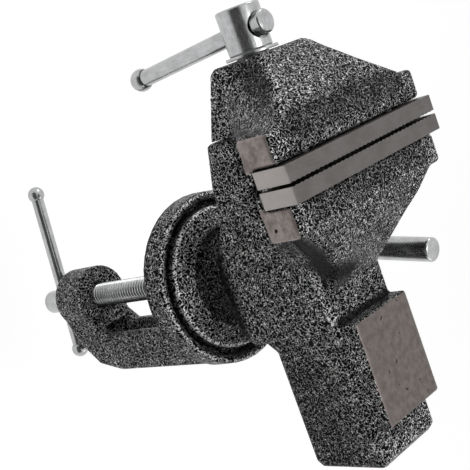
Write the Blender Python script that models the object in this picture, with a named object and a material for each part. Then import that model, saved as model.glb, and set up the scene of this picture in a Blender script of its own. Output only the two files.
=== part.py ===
"""Small swivel bench vise with a screw clamp base.

Frame: +Z is up, -Y is the side of the screw head, +X is the user's right.
The origin is where the swivel axis meets the underside of the round base,
which is the face that rests on the bench top. All lengths are in metres.
"""

import math

import bmesh
import bpy
from mathutils import Matrix, Vector

# Driving dimensions
JAW_WIDTH = 0.070
JAW_REACH = 0.0304
JAW_GAP = 0.0009
CHIN_GAP = 0.0006
FIT_GAP = 0.0003

# Round base
RIM_RADIUS = 0.0292
RIM_WIDTH = 0.0032
RIM_HEIGHT = 0.009
RIM_DRAFT = 0.0003
RIM_CHAMFER = 0.0008
BASE_FLOOR = 0.0026
POST_RADIUS = 0.008
POST_CHAMFER = 0.0008
POST_OVERLAP = 0.0062
POST_GROOVE_DEPTH = 0.002
POST_GROOVE_HEIGHT = 0.005

# Turntable and neck under the vise body
TURNTABLE_MARGIN = 0.0021
TURNTABLE_PROUD = 0.0005
TURNTABLE_CHAMFER = 0.0005
STEP_WIDTH = 0.0062
STEP_HEIGHT = 0.002
NECK_RADIUS = 0.0108
NECK_FOOT = 0.0006
NECK_POCKET_WIDTH = 0.0055
NECK_POCKET_DEPTH = 0.0015
NECK_HEIGHT = 0.0085

# Vise body
BODY_WALL = 0.0044
BODY_FLOOR = 0.0055
BODY_ROOF = 0.003
BODY_EDGE = 0.0018
BELLY_DEPTH = 0.0125
BELLY_FRONT = 0.008
BELLY_REAR = 0.0165
BELLY_RAMP = 0.0135
REAR_RAMP = 0.004
REAR_STEP = 0.003
RAIL_HEIGHT = 0.0075
FIXED_UNDERCUT = 0.0057
FIXED_BLOCK_LENGTH = 0.0092
PAD_START = 0.0164
PAD_LENGTH = 0.0334
PAD_RISE = 0.006
PAD_INSET = 0.0007
PAD_CHAMFER = 0.0006
BEAM_TAIL = 0.0131
TAIL_CHAMFER = 0.0022

# Jaw blocks, their flares and plates
JAW_OVER_PAD = 0.015
PLATE_PROUD = 0.003
PLATE_HEIGHT = 0.012
PLATE_THICKNESS = 0.0049
PLATE_CHAMFER = 0.0004
TOOTH_PITCH = 0.002
TOOTH_DEPTH = 0.00035
TOOTH_SHARES = (0.25, 0.5, 0.85)
BLOCK_INSET = 0.0002
BLOCK_HEIGHT = 0.0118
BLOCK_EDGE = 0.0012
LEDGE_SETBACK = 0.0013
LEDGE_EDGE = 0.0004
FLARE_INSET = 0.0035
FLARE_EDGE = 0.0012
FLARE_UNDER = 0.0015
FLARE_SIDE_HEIGHT = 0.0045
FLARE_SIDE_BULGE = 0.8
FLARE_TOP_DROP = 0.0006
FIXED_FLARE_LENGTH = 0.0225
FIXED_FLARE_NECK = 0.0126
FIXED_FLARE_STATIONS = (0.0, 0.12, 0.25, 0.47, 0.6, 0.75, 1.0, 1.1)
FIXED_FLARE_WIDTH_SHARES = (1.0, 0.83, 0.656, 0.317, 0.196, 0.085, 0.0, 0.0)
FIXED_FLARE_TOP_SHARES = (1.0, 0.93, 0.86, 0.67, 0.535, 0.355, 0.02, -0.1)

# Moving jaw
MOVING_BLOCK_LENGTH = 0.0085
MOVING_UNDERCUT = 0.003
BOSS_LENGTH = 0.0198
BOSS_HALF_WIDTH = 0.0125
BOSS_TOP = 0.0122
BOSS_FACE_INSET = 0.0012
BOSS_BOTTOM = 0.0083
BOSS_CORNER = 0.0035
BOSS_WALL = 0.008
MOVING_FLARE_STATIONS = (0.0, 0.06, 0.12, 0.25, 0.4, 0.55, 0.7, 0.85, 1.0)
MOVING_FLARE_WIDTH_SHARES = (0.0, 0.015, 0.03, 0.106, 0.24, 0.376, 0.54, 0.75, 1.0)
MOVING_FLARE_TOP_SHARES = (0.0, 0.05, 0.13, 0.32, 0.5, 0.67, 0.83, 0.94, 1.0)
JOINT_OVERLAP = 0.0004

# Slide bar, an open trough round the screw
SLIDE_WALL = 0.0031
SLIDE_FLOOR = 0.004
SLIDE_SCREW_GAP = 0.0012
SLIDE_UNDER_SCREW = 0.005
SLIDE_OVER_SCREW = 0.0001
SLIDE_END = 0.058
STOP_PIN_RADIUS = 0.0015
STOP_PIN_SETBACK = 0.002

# Main screw, its washer, ring and nut
SCREW_RADIUS = 0.005
THREAD_RADIUS = 0.0049
THREAD_DEPTH = 0.0012
THREAD_PITCH = 0.003
THREAD_CREST_SHARE = 0.3
THREAD_FLANK_SHARE = 0.22
THREAD_END = 0.052
THREAD_RUNOUT = 0.0012
HEAD_RADIUS = 0.00675
HEAD_LENGTH = 0.0132
HEAD_CHAMFER = 0.0009
HEAD_HOLE_SHARE = 0.542
HEAD_HOLE_RADIUS = 0.00325
HEAD_SEAT_DEPTH = 0.0018
WASHER_RADIUS = 0.00815
WASHER_THICKNESS = 0.001
RING_THICKNESS = 0.0015
RING_INNER = 0.004
RING_MOUTH_SHARE = 0.16
RING_OUTER = 0.0059
NUT_LENGTH = 0.0165
NUT_STEM_RADIUS = 0.005
NUT_STEM_HEIGHT = 0.008
NUT_UNDER = 0.0043

# Main handle
HANDLE_RADIUS = 0.0027
HANDLE_DROP = 0.050
HANDLE_LEAN = math.radians(3.3)
HANDLE_BALL_RADIUS = 0.00375
HANDLE_KNOB_RADIUS = 0.0036
HANDLE_KNOB_LENGTH = 0.0041
HANDLE_KNOB_CHAMFER = 0.0005
KNOB_BORE_DEPTH = 0.0028
KNOB_SEAT_GAP = 0.0005

# Jaw plate screws
PLATE_SCREW_SPREAD = 0.020
PLATE_SCREW_RADIUS = 0.002
PLATE_SCREW_HEAD = 0.0038
PLATE_SCREW_HEAD_DEPTH = 0.0022
PLATE_SCREW_SUNK = 0.0008
PLATE_SCREW_LENGTH = 0.0075
PLATE_SCREW_SOCKET = 0.0013
PLATE_SCREW_SOCKET_DEPTH = 0.0014

# Swivel lock lever
LOCK_ROD_RADIUS = 0.00385
LOCK_THREAD_RADIUS = 0.003
LOCK_TIP_RADIUS = 0.002
LOCK_SHOULDER = 0.0004
LOCK_BEND = 0.006
LOCK_STRAIGHT = 0.0056
LOCK_ARM = 0.0508
LOCK_CHAMFER = 0.0008
LOCK_LEAN = math.radians(9.2)

# Screw clamp under the base
SPINE_HALF_WIDTH = 0.010
SPINE_FRONT = 0.013
SPINE_DEPTH = 0.0145
SPINE_EDGE = 0.0018
SPINE_ROOT = 0.0014
SPINE_WEB = 0.005
SPINE_FLANGE = 0.004
SPINE_RECESS_TOP = 0.0045
MOUTH_HEIGHT = 0.061
CLAMP_BOSS_RADIUS = 0.0113
CLAMP_BOSS_HEIGHT = 0.0162
CLAMP_BOSS_CHAMFER = 0.0008
ARM_CORNER_RISE = 0.007
ARM_CORNER_RUN = 0.003
ARM_HEEL_RISE = 0.0115
ARM_HEEL_RUN = 0.011
ARM_SOLE_RISE = 0.0043
ARM_SOLE_RUN = 0.007
ARM_TOP_CORNER = 0.0045
RECESS_UNDERCUT = 0.0012
CLAMP_RADIUS = 0.0045
CLAMP_THREAD_DEPTH = 0.0007
CLAMP_PITCH = 0.0015
CLAMP_ROOT_SHARE = 0.5
CLAMP_SHANK = 0.0145
CLAMP_HANDLE_DROP = 0.00855
CLAMP_HEAD_CHAMFER = 0.0008
CLAMP_HANDLE_RADIUS = 0.00235
CLAMP_KNOB_RADIUS = 0.0032
CLAMP_HANDLE_FRONT = 0.043
CLAMP_HANDLE_REAR = 0.020
CLAMP_HANDLE_TURN = math.radians(-6.5)
CLAMP_HEAD_TAIL = 0.0092
PAD_DROP = 0.005
PAD_RADIUS = 0.009
PAD_PLATE = 0.0045
PAD_PLATE_CHAMFER = 0.0008
PAD_HUB_RADIUS = 0.0062
PAD_HUB_HEIGHT = 0.0058
BALL_RADIUS = 0.0034
BALL_DEPTH = 0.0058
BALL_NECK_RADIUS = 0.0023
BALL_NECK_LENGTH = 0.0036

# Smoothness
ROUND_SEGMENTS = 40
SMALL_SEGMENTS = 20
THREAD_SEGMENTS = 12
CLAMP_THREAD_SEGMENTS = 12
FLARE_SECTIONS = 14
FLARE_SIDE_STEPS = 4
BEND_STEPS = 6
BALL_STEPS = 5
SOCKET_SIDES = 6
ROUNDING_STEPS = 2
HALF_STEP = 0.5
CUT_MARGIN = 0.002
MERGE_DISTANCE = 0.000001
SMOOTH_ANGLE = math.radians(32)

# Levels up the vise, from the bench face
RIM_INNER = RIM_RADIUS - RIM_WIDTH
TURNTABLE_RADIUS = RIM_INNER - TURNTABLE_MARGIN
TURNTABLE_BOTTOM = BASE_FLOOR + FIT_GAP
TURNTABLE_TOP = RIM_HEIGHT + TURNTABLE_PROUD
STEP_RADIUS = TURNTABLE_RADIUS - STEP_WIDTH
NECK_BOTTOM = TURNTABLE_TOP + STEP_HEIGHT
POCKET_FLOOR = NECK_BOTTOM - NECK_POCKET_DEPTH
BELLY_BOTTOM = NECK_BOTTOM + NECK_HEIGHT
BEAM_BOTTOM = BELLY_BOTTOM + BELLY_DEPTH
CHANNEL_FLOOR = BEAM_BOTTOM + BODY_FLOOR
POST_TOP = BELLY_BOTTOM + POST_OVERLAP
LOCK_HEIGHT = NECK_BOTTOM + LOCK_ROD_RADIUS + LOCK_SHOULDER + LOCK_SHOULDER
SLIDE_BOTTOM = CHANNEL_FLOOR + FIT_GAP
TROUGH_FLOOR = SLIDE_BOTTOM + SLIDE_FLOOR
SCREW_HEIGHT = TROUGH_FLOOR + SLIDE_UNDER_SCREW + SCREW_RADIUS
SLIDE_TOP = SCREW_HEIGHT + SCREW_RADIUS + SLIDE_OVER_SCREW
CHANNEL_ROOF = SLIDE_TOP + FIT_GAP + FIT_GAP
BEAM_TOP = CHANNEL_ROOF + BODY_ROOF
PAD_TOP = BEAM_TOP + PAD_RISE
JAW_TOP = PAD_TOP + JAW_OVER_PAD
BLOCK_TOP = JAW_TOP - PLATE_PROUD
BLOCK_BOTTOM = BLOCK_TOP - BLOCK_HEIGHT
PLATE_BOTTOM = JAW_TOP - PLATE_HEIGHT
PLATE_SCREW_HEIGHT = JAW_TOP - PLATE_HEIGHT / 2
RAIL_TOP = CHANNEL_FLOOR + RAIL_HEIGHT

# Half widths
TROUGH_HALF = SCREW_RADIUS + SLIDE_SCREW_GAP
SLIDE_HALF = TROUGH_HALF + SLIDE_WALL
CHANNEL_HALF = SLIDE_HALF + FIT_GAP
BODY_HALF = CHANNEL_HALF + BODY_WALL
PAD_HALF = BODY_HALF - PAD_INSET
BLOCK_HALF = JAW_WIDTH / 2 - BLOCK_INSET
FLARE_HALF = BLOCK_HALF - FLARE_INSET

# Stations along the screw, negative towards its head
FIXED_PLATE_FRONT = -JAW_REACH
FIXED_PLATE_BACK = FIXED_PLATE_FRONT + PLATE_THICKNESS
FIXED_SEAT = FIXED_PLATE_BACK + FIT_GAP
FIXED_BLOCK_REAR = FIXED_SEAT + FIXED_BLOCK_LENGTH
COLUMN_FRONT = FIXED_SEAT + FIXED_UNDERCUT
MOVING_PLATE_BACK = FIXED_PLATE_FRONT - JAW_GAP
MOVING_PLATE_FRONT = MOVING_PLATE_BACK - PLATE_THICKNESS
MOVING_SEAT = MOVING_PLATE_FRONT - FIT_GAP
MOVING_BLOCK_FRONT = MOVING_SEAT - MOVING_BLOCK_LENGTH
CHIN_REAR = MOVING_BLOCK_FRONT
CHIN_FRONT = CHIN_REAR - BOSS_LENGTH
RAIL_FRONT = CHIN_REAR + CHIN_GAP
SADDLE_REAR = MOVING_SEAT - MOVING_UNDERCUT
BOSS_REAR = CHIN_FRONT + BOSS_WALL
WASHER_FRONT = CHIN_FRONT - FIT_GAP - WASHER_THICKNESS
HEAD_REAR = WASHER_FRONT - FIT_GAP
HEAD_FRONT = HEAD_REAR - HEAD_LENGTH
HANDLE_STATION = HEAD_FRONT + HEAD_LENGTH * HEAD_HOLE_SHARE
RING_FRONT = BOSS_REAR + FIT_GAP
RING_REAR = RING_FRONT + RING_THICKNESS
PAD_END = PAD_START + PAD_LENGTH
BEAM_END = PAD_END + BEAM_TAIL
STOP_PIN_STATION = SLIDE_END - STOP_PIN_SETBACK
STOP_PIN_HEIGHT = TROUGH_FLOOR + STOP_PIN_RADIUS + FIT_GAP
SCREW_AXIS = Vector((0.0, 0.0, SCREW_HEIGHT))
HANDLE_CENTRE = Vector((0.0, HANDLE_STATION, SCREW_HEIGHT))

# Clamp levels, down from the bench face
CLAMP_BOSS_TOP = -MOUTH_HEIGHT
CLAMP_BOSS_BOTTOM = CLAMP_BOSS_TOP - CLAMP_BOSS_HEIGHT
CLAMP_HANDLE_LEVEL = CLAMP_BOSS_BOTTOM - CLAMP_HANDLE_DROP
CLAMP_SCREW_BOTTOM = CLAMP_HANDLE_LEVEL - CLAMP_HEAD_TAIL
CLAMP_PAD_TOP = -PAD_DROP
BALL_LEVEL = CLAMP_PAD_TOP - BALL_DEPTH
NECK_LEVEL = BALL_LEVEL - BALL_RADIUS - BALL_NECK_LENGTH
SPINE_REAR = SPINE_FRONT + SPINE_DEPTH


# Scene and materials
def clear_scene():
    for old in list(bpy.data.objects):
        bpy.data.objects.remove(old, do_unlink=True)


def make_material(name, colour, metallic, roughness):
    material = bpy.data.materials.new(name)
    material.use_nodes = True
    shader = material.node_tree.nodes["Principled BSDF"]
    shader.inputs["Base Color"].default_value = (*colour, 1.0)
    shader.inputs["Metallic"].default_value = metallic
    shader.inputs["Roughness"].default_value = roughness
    return material


# Shapes
def point_on(axis, along, first, second):
    """A point whose coordinate on the named axis is along, the other two in order."""
    if axis == "X":
        return Vector((along, first, second))
    if axis == "Y":
        return Vector((first, along, second))
    return Vector((first, second, along))


def add_loft(bm, rings):
    """Skin between rings of equal point counts, with flat ends."""
    loops = [[bm.verts.new(point) for point in ring] for ring in rings]
    count = len(loops[0])
    for here, there in zip(loops[:-1], loops[1:]):
        for index in range(count):
            after = (index + 1) % count
            bm.faces.new((here[index], here[after], there[after], there[index]))
    bm.faces.new(list(reversed(loops[0])))
    bm.faces.new(loops[-1])


def add_prism(bm, outline, axis, low, high, edge=0.0):
    """A straight bar with the outline's section, its outline edges rounded by edge."""
    rings = [[point_on(axis, along, *pair) for pair in outline] for along in (low, high)]
    verts_before = set(bm.verts)
    add_loft(bm, rings)
    fresh = [vert for vert in bm.verts if vert not in verts_before]
    if edge > 0.0:
        slot = "XYZ".index(axis)
        outline_edges = {
            line
            for vert in fresh
            for line in vert.link_edges
            if abs(line.verts[0].co[slot] - line.verts[1].co[slot]) < MERGE_DISTANCE
        }
        bmesh.ops.recalc_face_normals(bm, faces=list({f for v in fresh for f in v.link_faces}))
        bmesh.ops.bevel(
            bm,
            geom=list(outline_edges),
            offset=edge,
            offset_type="OFFSET",
            segments=ROUNDING_STEPS,
            profile=0.5,
            affect="EDGES",
            clamp_overlap=True,
        )


def add_box(bm, low, high, edge=0.0):
    """A block between two corners, with every edge rounded by edge."""
    made = bmesh.ops.create_cube(bm, size=1.0)["verts"]
    low, high = Vector(low), Vector(high)
    size = high - low
    middle = (high + low) / 2
    bmesh.ops.scale(bm, vec=size, verts=made)
    bmesh.ops.translate(bm, vec=middle, verts=made)
    if edge > 0.0:
        lines = list({line for vert in made for line in vert.link_edges})
        bmesh.ops.bevel(
            bm,
            geom=lines,
            offset=edge,
            offset_type="OFFSET",
            segments=ROUNDING_STEPS,
            profile=0.5,
            affect="EDGES",
            clamp_overlap=True,
        )


def add_turned(bm, profile, axis, segments, centre=(0.0, 0.0, 0.0), phase=0.0):
    """A profile of (radius, height) pairs turned round an axis through centre.

    phase shifts the first facet line round the axis by that share of a segment.
    """
    centre = Vector(centre)
    direction = point_on(axis, 1.0, 0.0, 0.0)
    angle = math.tau / segments * phase
    across = point_on(axis, 0.0, math.cos(angle), math.sin(angle))
    line = [bm.verts.new(centre + direction * height + across * radius) for radius, height in profile]
    edges = [bm.edges.new(pair) for pair in zip(line[:-1], line[1:])]
    if profile[0][0] > 0.0:
        edges.append(bm.edges.new((line[-1], line[0])))
    bmesh.ops.spin(
        bm,
        geom=line + edges,
        cent=centre,
        axis=direction,
        dvec=(0.0, 0.0, 0.0),
        angle=math.tau,
        steps=segments,
        use_merge=False,
        use_duplicate=False,
    )
    bmesh.ops.remove_doubles(bm, verts=list(bm.verts), dist=MERGE_DISTANCE)


def add_thread(bm, axis, centre, low, high, crest, depth, pitch, segments, marks):
    """A screw thread: radius as a function of angle and height, skewed along the helix.

    marks are (share of a pitch, share of the depth) pairs over one turn of the section.
    """
    centre = Vector(centre)
    turns = math.ceil((high - low) / pitch) + 2
    rows = []
    for turn in range(turns):
        for share, cut in marks:
            ring = []
            for step in range(segments):
                angle = math.tau * step / segments
                along = low + pitch * (turn - 1 + share + step / segments)
                radius = crest - depth * cut
                ring.append((angle, along, radius))
            rows.append(ring)
    verts = [
        [
            bm.verts.new(
                centre + point_on(axis, along, radius * math.cos(angle), radius * math.sin(angle))
            )
            for angle, along, radius in ring
        ]
        for ring in rows
    ]
    per_turn = len(marks)
    for row in range(len(verts) - per_turn - 1):
        for step in range(segments):
            after = step + 1
            if after < segments:
                corners = (
                    verts[row][step],
                    verts[row][after],
                    verts[row + 1][after],
                    verts[row + 1][step],
                )
            else:
                corners = (
                    verts[row][step],
                    verts[row + per_turn][0],
                    verts[row + per_turn + 1][0],
                    verts[row + 1][step],
                )
            bm.faces.new(corners)
    bmesh.ops.delete(bm, geom=[vert for vert in bm.verts if not vert.link_faces], context="VERTS")
    border = [line for line in bm.edges if len(line.link_faces) == 1]
    bmesh.ops.holes_fill(bm, edges=border, sides=0)
    bmesh.ops.triangulate(bm, faces=[face for face in bm.faces if len(face.verts) > 3])


def swept_rings(path, radii, segments, sideways):
    """Circles across a path in one plane, whose normal is sideways."""
    rings = []
    for index, point in enumerate(path):
        before = path[max(index - 1, 0)]
        after = path[min(index + 1, len(path) - 1)]
        if (point - before).length > MERGE_DISTANCE and (after - point).length > MERGE_DISTANCE:
            tangent = ((point - before).normalized() + (after - point).normalized()).normalized()
        else:
            tangent = (after - before).normalized()
        across = sideways.cross(tangent).normalized()
        ring = []
        for step in range(segments):
            angle = math.tau * step / segments
            ring.append(point + radii[index] * (across * math.cos(angle) + sideways * math.sin(angle)))
        rings.append(ring)
    return rings


def mesh_from(name, builder):
    bm = bmesh.new()
    builder(bm)
    bmesh.ops.recalc_face_normals(bm, faces=list(bm.faces))
    mesh = bpy.data.meshes.new(name)
    bm.to_mesh(mesh)
    bm.free()
    return mesh


def make_piece(name, builder, material, origin=(0.0, 0.0, 0.0), parent=None):
    """A node whose object origin is at the world point origin."""
    mesh = mesh_from(name, builder)
    mesh.transform(Matrix.Translation(-Vector(origin)))
    mesh.materials.append(material)
    mesh.shade_smooth()
    mesh.set_sharp_from_angle(angle=SMOOTH_ANGLE)
    piece = bpy.data.objects.new(name, mesh)
    bpy.context.collection.objects.link(piece)
    place(piece, origin, parent)
    return piece


def place(piece, origin, parent):
    offset = Vector(origin)
    if parent is not None:
        piece.parent = parent
        offset = offset - Vector(parent["stands_at"])
    piece.location = offset


def make_axis(name, origin, parent=None):
    """An empty that stands on a joint's axis."""
    empty = bpy.data.objects.new(name, None)
    bpy.context.collection.objects.link(empty)
    place(empty, origin, parent)
    empty["stands_at"] = tuple(origin)
    return empty


def change(piece, name, builder, operation):
    tool = bpy.data.objects.new(name, mesh_from(name, builder))
    bpy.context.collection.objects.link(tool)
    tool.hide_render = True
    tool.display_type = "WIRE"
    step = piece.modifiers.new(name, "BOOLEAN")
    step.operation = operation
    step.solver = "EXACT"
    step.object = tool
    return step


def cut(piece, name, builder):
    return change(piece, name, builder, "DIFFERENCE")


def fuse(piece, name, builder):
    return change(piece, name, builder, "UNION")


def keep_inside(piece, name, builder):
    return change(piece, name, builder, "INTERSECT")


def cylinder_profile(radius, low, high, chamfer=0.0):
    if chamfer > 0.0:
        return [
            (0.0, low),
            (radius - chamfer, low),
            (radius, low + chamfer),
            (radius, high - chamfer),
            (radius - chamfer, high),
            (0.0, high),
        ]
    return [(0.0, low), (radius, low), (radius, high), (0.0, high)]


def turned(profile, axis, segments, centre=(0.0, 0.0, 0.0), phase=0.0):
    return lambda bm: add_turned(bm, profile, axis, segments, centre, phase)


def lofted(rings):
    """A skin over sections whose sides may twist, so the faces between them are triangles."""

    def builder(bm):
        add_loft(bm, rings)
        bmesh.ops.triangulate(bm, faces=[face for face in bm.faces if len(face.verts) == 4])

    return builder


def eased(table, at):
    """The value at a station of a table of (station, share) pairs, as one smooth curve."""
    for index in range(len(table) - 1):
        (left, low), (right, high) = table[index], table[index + 1]
        if at <= right or index == len(table) - 2:
            before = table[max(index - 1, 0)]
            after = table[min(index + 2, len(table) - 1)]
            span = right - left
            share = (at - left) / span
            slope_in = (high - before[1]) / (right - before[0]) * span
            slope_out = (after[1] - low) / (after[0] - left) * span
            square, cube = share**2, share**3
            return (
                low * (2 * cube - 3 * square + 1)
                + slope_in * (cube - 2 * square + share)
                + high * (3 * square - 2 * cube)
                + slope_out * (cube - square)
            )


def flare_rings(stations, widths, tops, start, length, narrow, wide, low, high, side_half, bottom):
    """Sections of a jaw's flare across its width, from its top down to the body's side."""
    rings = []
    side_top = SCREW_HEIGHT - FLARE_SIDE_HEIGHT
    width_table = list(zip(stations, widths))
    top_table = list(zip(stations, tops))
    for index in range(FLARE_SECTIONS + 1):
        station = stations[0] + (stations[-1] - stations[0]) * index / FLARE_SECTIONS
        along = start + length * station
        half = narrow + (wide - narrow) * eased(width_table, station)
        top = low + (high - low) * eased(top_table, station)
        base, corner = bottom(station)
        right = [(half - FLARE_EDGE, top)]
        for step in range(FLARE_SIDE_STEPS + 1):
            fall = step / FLARE_SIDE_STEPS
            reach = (1.0 - fall) ** FLARE_SIDE_BULGE
            right.append(
                (
                    side_half + (half - side_half) * reach,
                    top - FLARE_EDGE + (side_top - top + FLARE_EDGE) * fall,
                )
            )
        right.append((side_half, base + corner))
        right.append((side_half - corner, base))
        left = [(-first, second) for first, second in reversed(right)]
        rings.append([Vector((first, along, second)) for first, second in right + left])
    return rings


# Castings
def build_clamp_frame(material):
    base_profile = [
        (0.0, 0.0),
        (RIM_RADIUS - RIM_CHAMFER, 0.0),
        (RIM_RADIUS, RIM_CHAMFER),
        (RIM_RADIUS - RIM_DRAFT, RIM_HEIGHT - RIM_CHAMFER),
        (RIM_RADIUS - RIM_DRAFT - RIM_CHAMFER, RIM_HEIGHT),
        (RIM_INNER + RIM_CHAMFER, RIM_HEIGHT),
        (RIM_INNER, RIM_HEIGHT - RIM_CHAMFER),
        (RIM_INNER, BASE_FLOOR),
        (POST_RADIUS, BASE_FLOOR),
        (POST_RADIUS, LOCK_HEIGHT - POST_GROOVE_HEIGHT / 2),
        (POST_RADIUS - POST_GROOVE_DEPTH, LOCK_HEIGHT - POST_GROOVE_HEIGHT / 2),
        (POST_RADIUS - POST_GROOVE_DEPTH, LOCK_HEIGHT + POST_GROOVE_HEIGHT / 2),
        (POST_RADIUS, LOCK_HEIGHT + POST_GROOVE_HEIGHT / 2),
        (POST_RADIUS, POST_TOP - POST_CHAMFER),
        (POST_RADIUS - POST_CHAMFER, POST_TOP),
        (0.0, POST_TOP),
    ]
    frame = make_piece("clamp_frame", turned(base_profile, "Z", ROUND_SEGMENTS), material)
    side = [
        (SPINE_REAR, SPINE_ROOT),
        (SPINE_REAR, CLAMP_BOSS_TOP + ARM_CORNER_RISE),
        (SPINE_REAR - ARM_CORNER_RUN, CLAMP_BOSS_BOTTOM + ARM_HEEL_RISE),
        (SPINE_REAR - ARM_HEEL_RUN, CLAMP_BOSS_BOTTOM + ARM_SOLE_RISE),
        (ARM_SOLE_RUN, CLAMP_BOSS_BOTTOM + FIT_GAP),
        (0.0, CLAMP_BOSS_BOTTOM + FIT_GAP),
        (0.0, CLAMP_BOSS_TOP - FIT_GAP),
        (SPINE_FRONT - ARM_TOP_CORNER, CLAMP_BOSS_TOP - FIT_GAP),
        (SPINE_FRONT, CLAMP_BOSS_TOP + ARM_TOP_CORNER),
        (SPINE_FRONT, SPINE_ROOT),
    ]
    fuse(
        frame,
        "spine_bar",
        lambda bm: add_prism(bm, side, "X", -SPINE_HALF_WIDTH, SPINE_HALF_WIDTH, SPINE_EDGE),
    )
    fuse(
        frame,
        "clamp_boss",
        turned(
            cylinder_profile(CLAMP_BOSS_RADIUS, CLAMP_BOSS_BOTTOM, CLAMP_BOSS_TOP, CLAMP_BOSS_CHAMFER),
            "Z",
            ROUND_SEGMENTS,
        ),
    )
    recess_low = (
        -SPINE_HALF_WIDTH + SPINE_FLANGE,
        SPINE_FRONT - CUT_MARGIN,
        CLAMP_BOSS_TOP - RECESS_UNDERCUT,
    )
    recess_high = (
        SPINE_HALF_WIDTH - SPINE_FLANGE,
        SPINE_REAR - SPINE_WEB,
        -SPINE_RECESS_TOP,
    )
    cut(frame, "spine_recess", lambda bm: add_box(bm, recess_low, recess_high))
    cut(
        frame,
        "clamp_screw_bore",
        turned(
            cylinder_profile(
                CLAMP_RADIUS + FIT_GAP,
                CLAMP_BOSS_BOTTOM - CUT_MARGIN,
                CLAMP_BOSS_TOP + CUT_MARGIN,
            ),
            "Z",
            SMALL_SEGMENTS,
        ),
    )
    return frame


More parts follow.
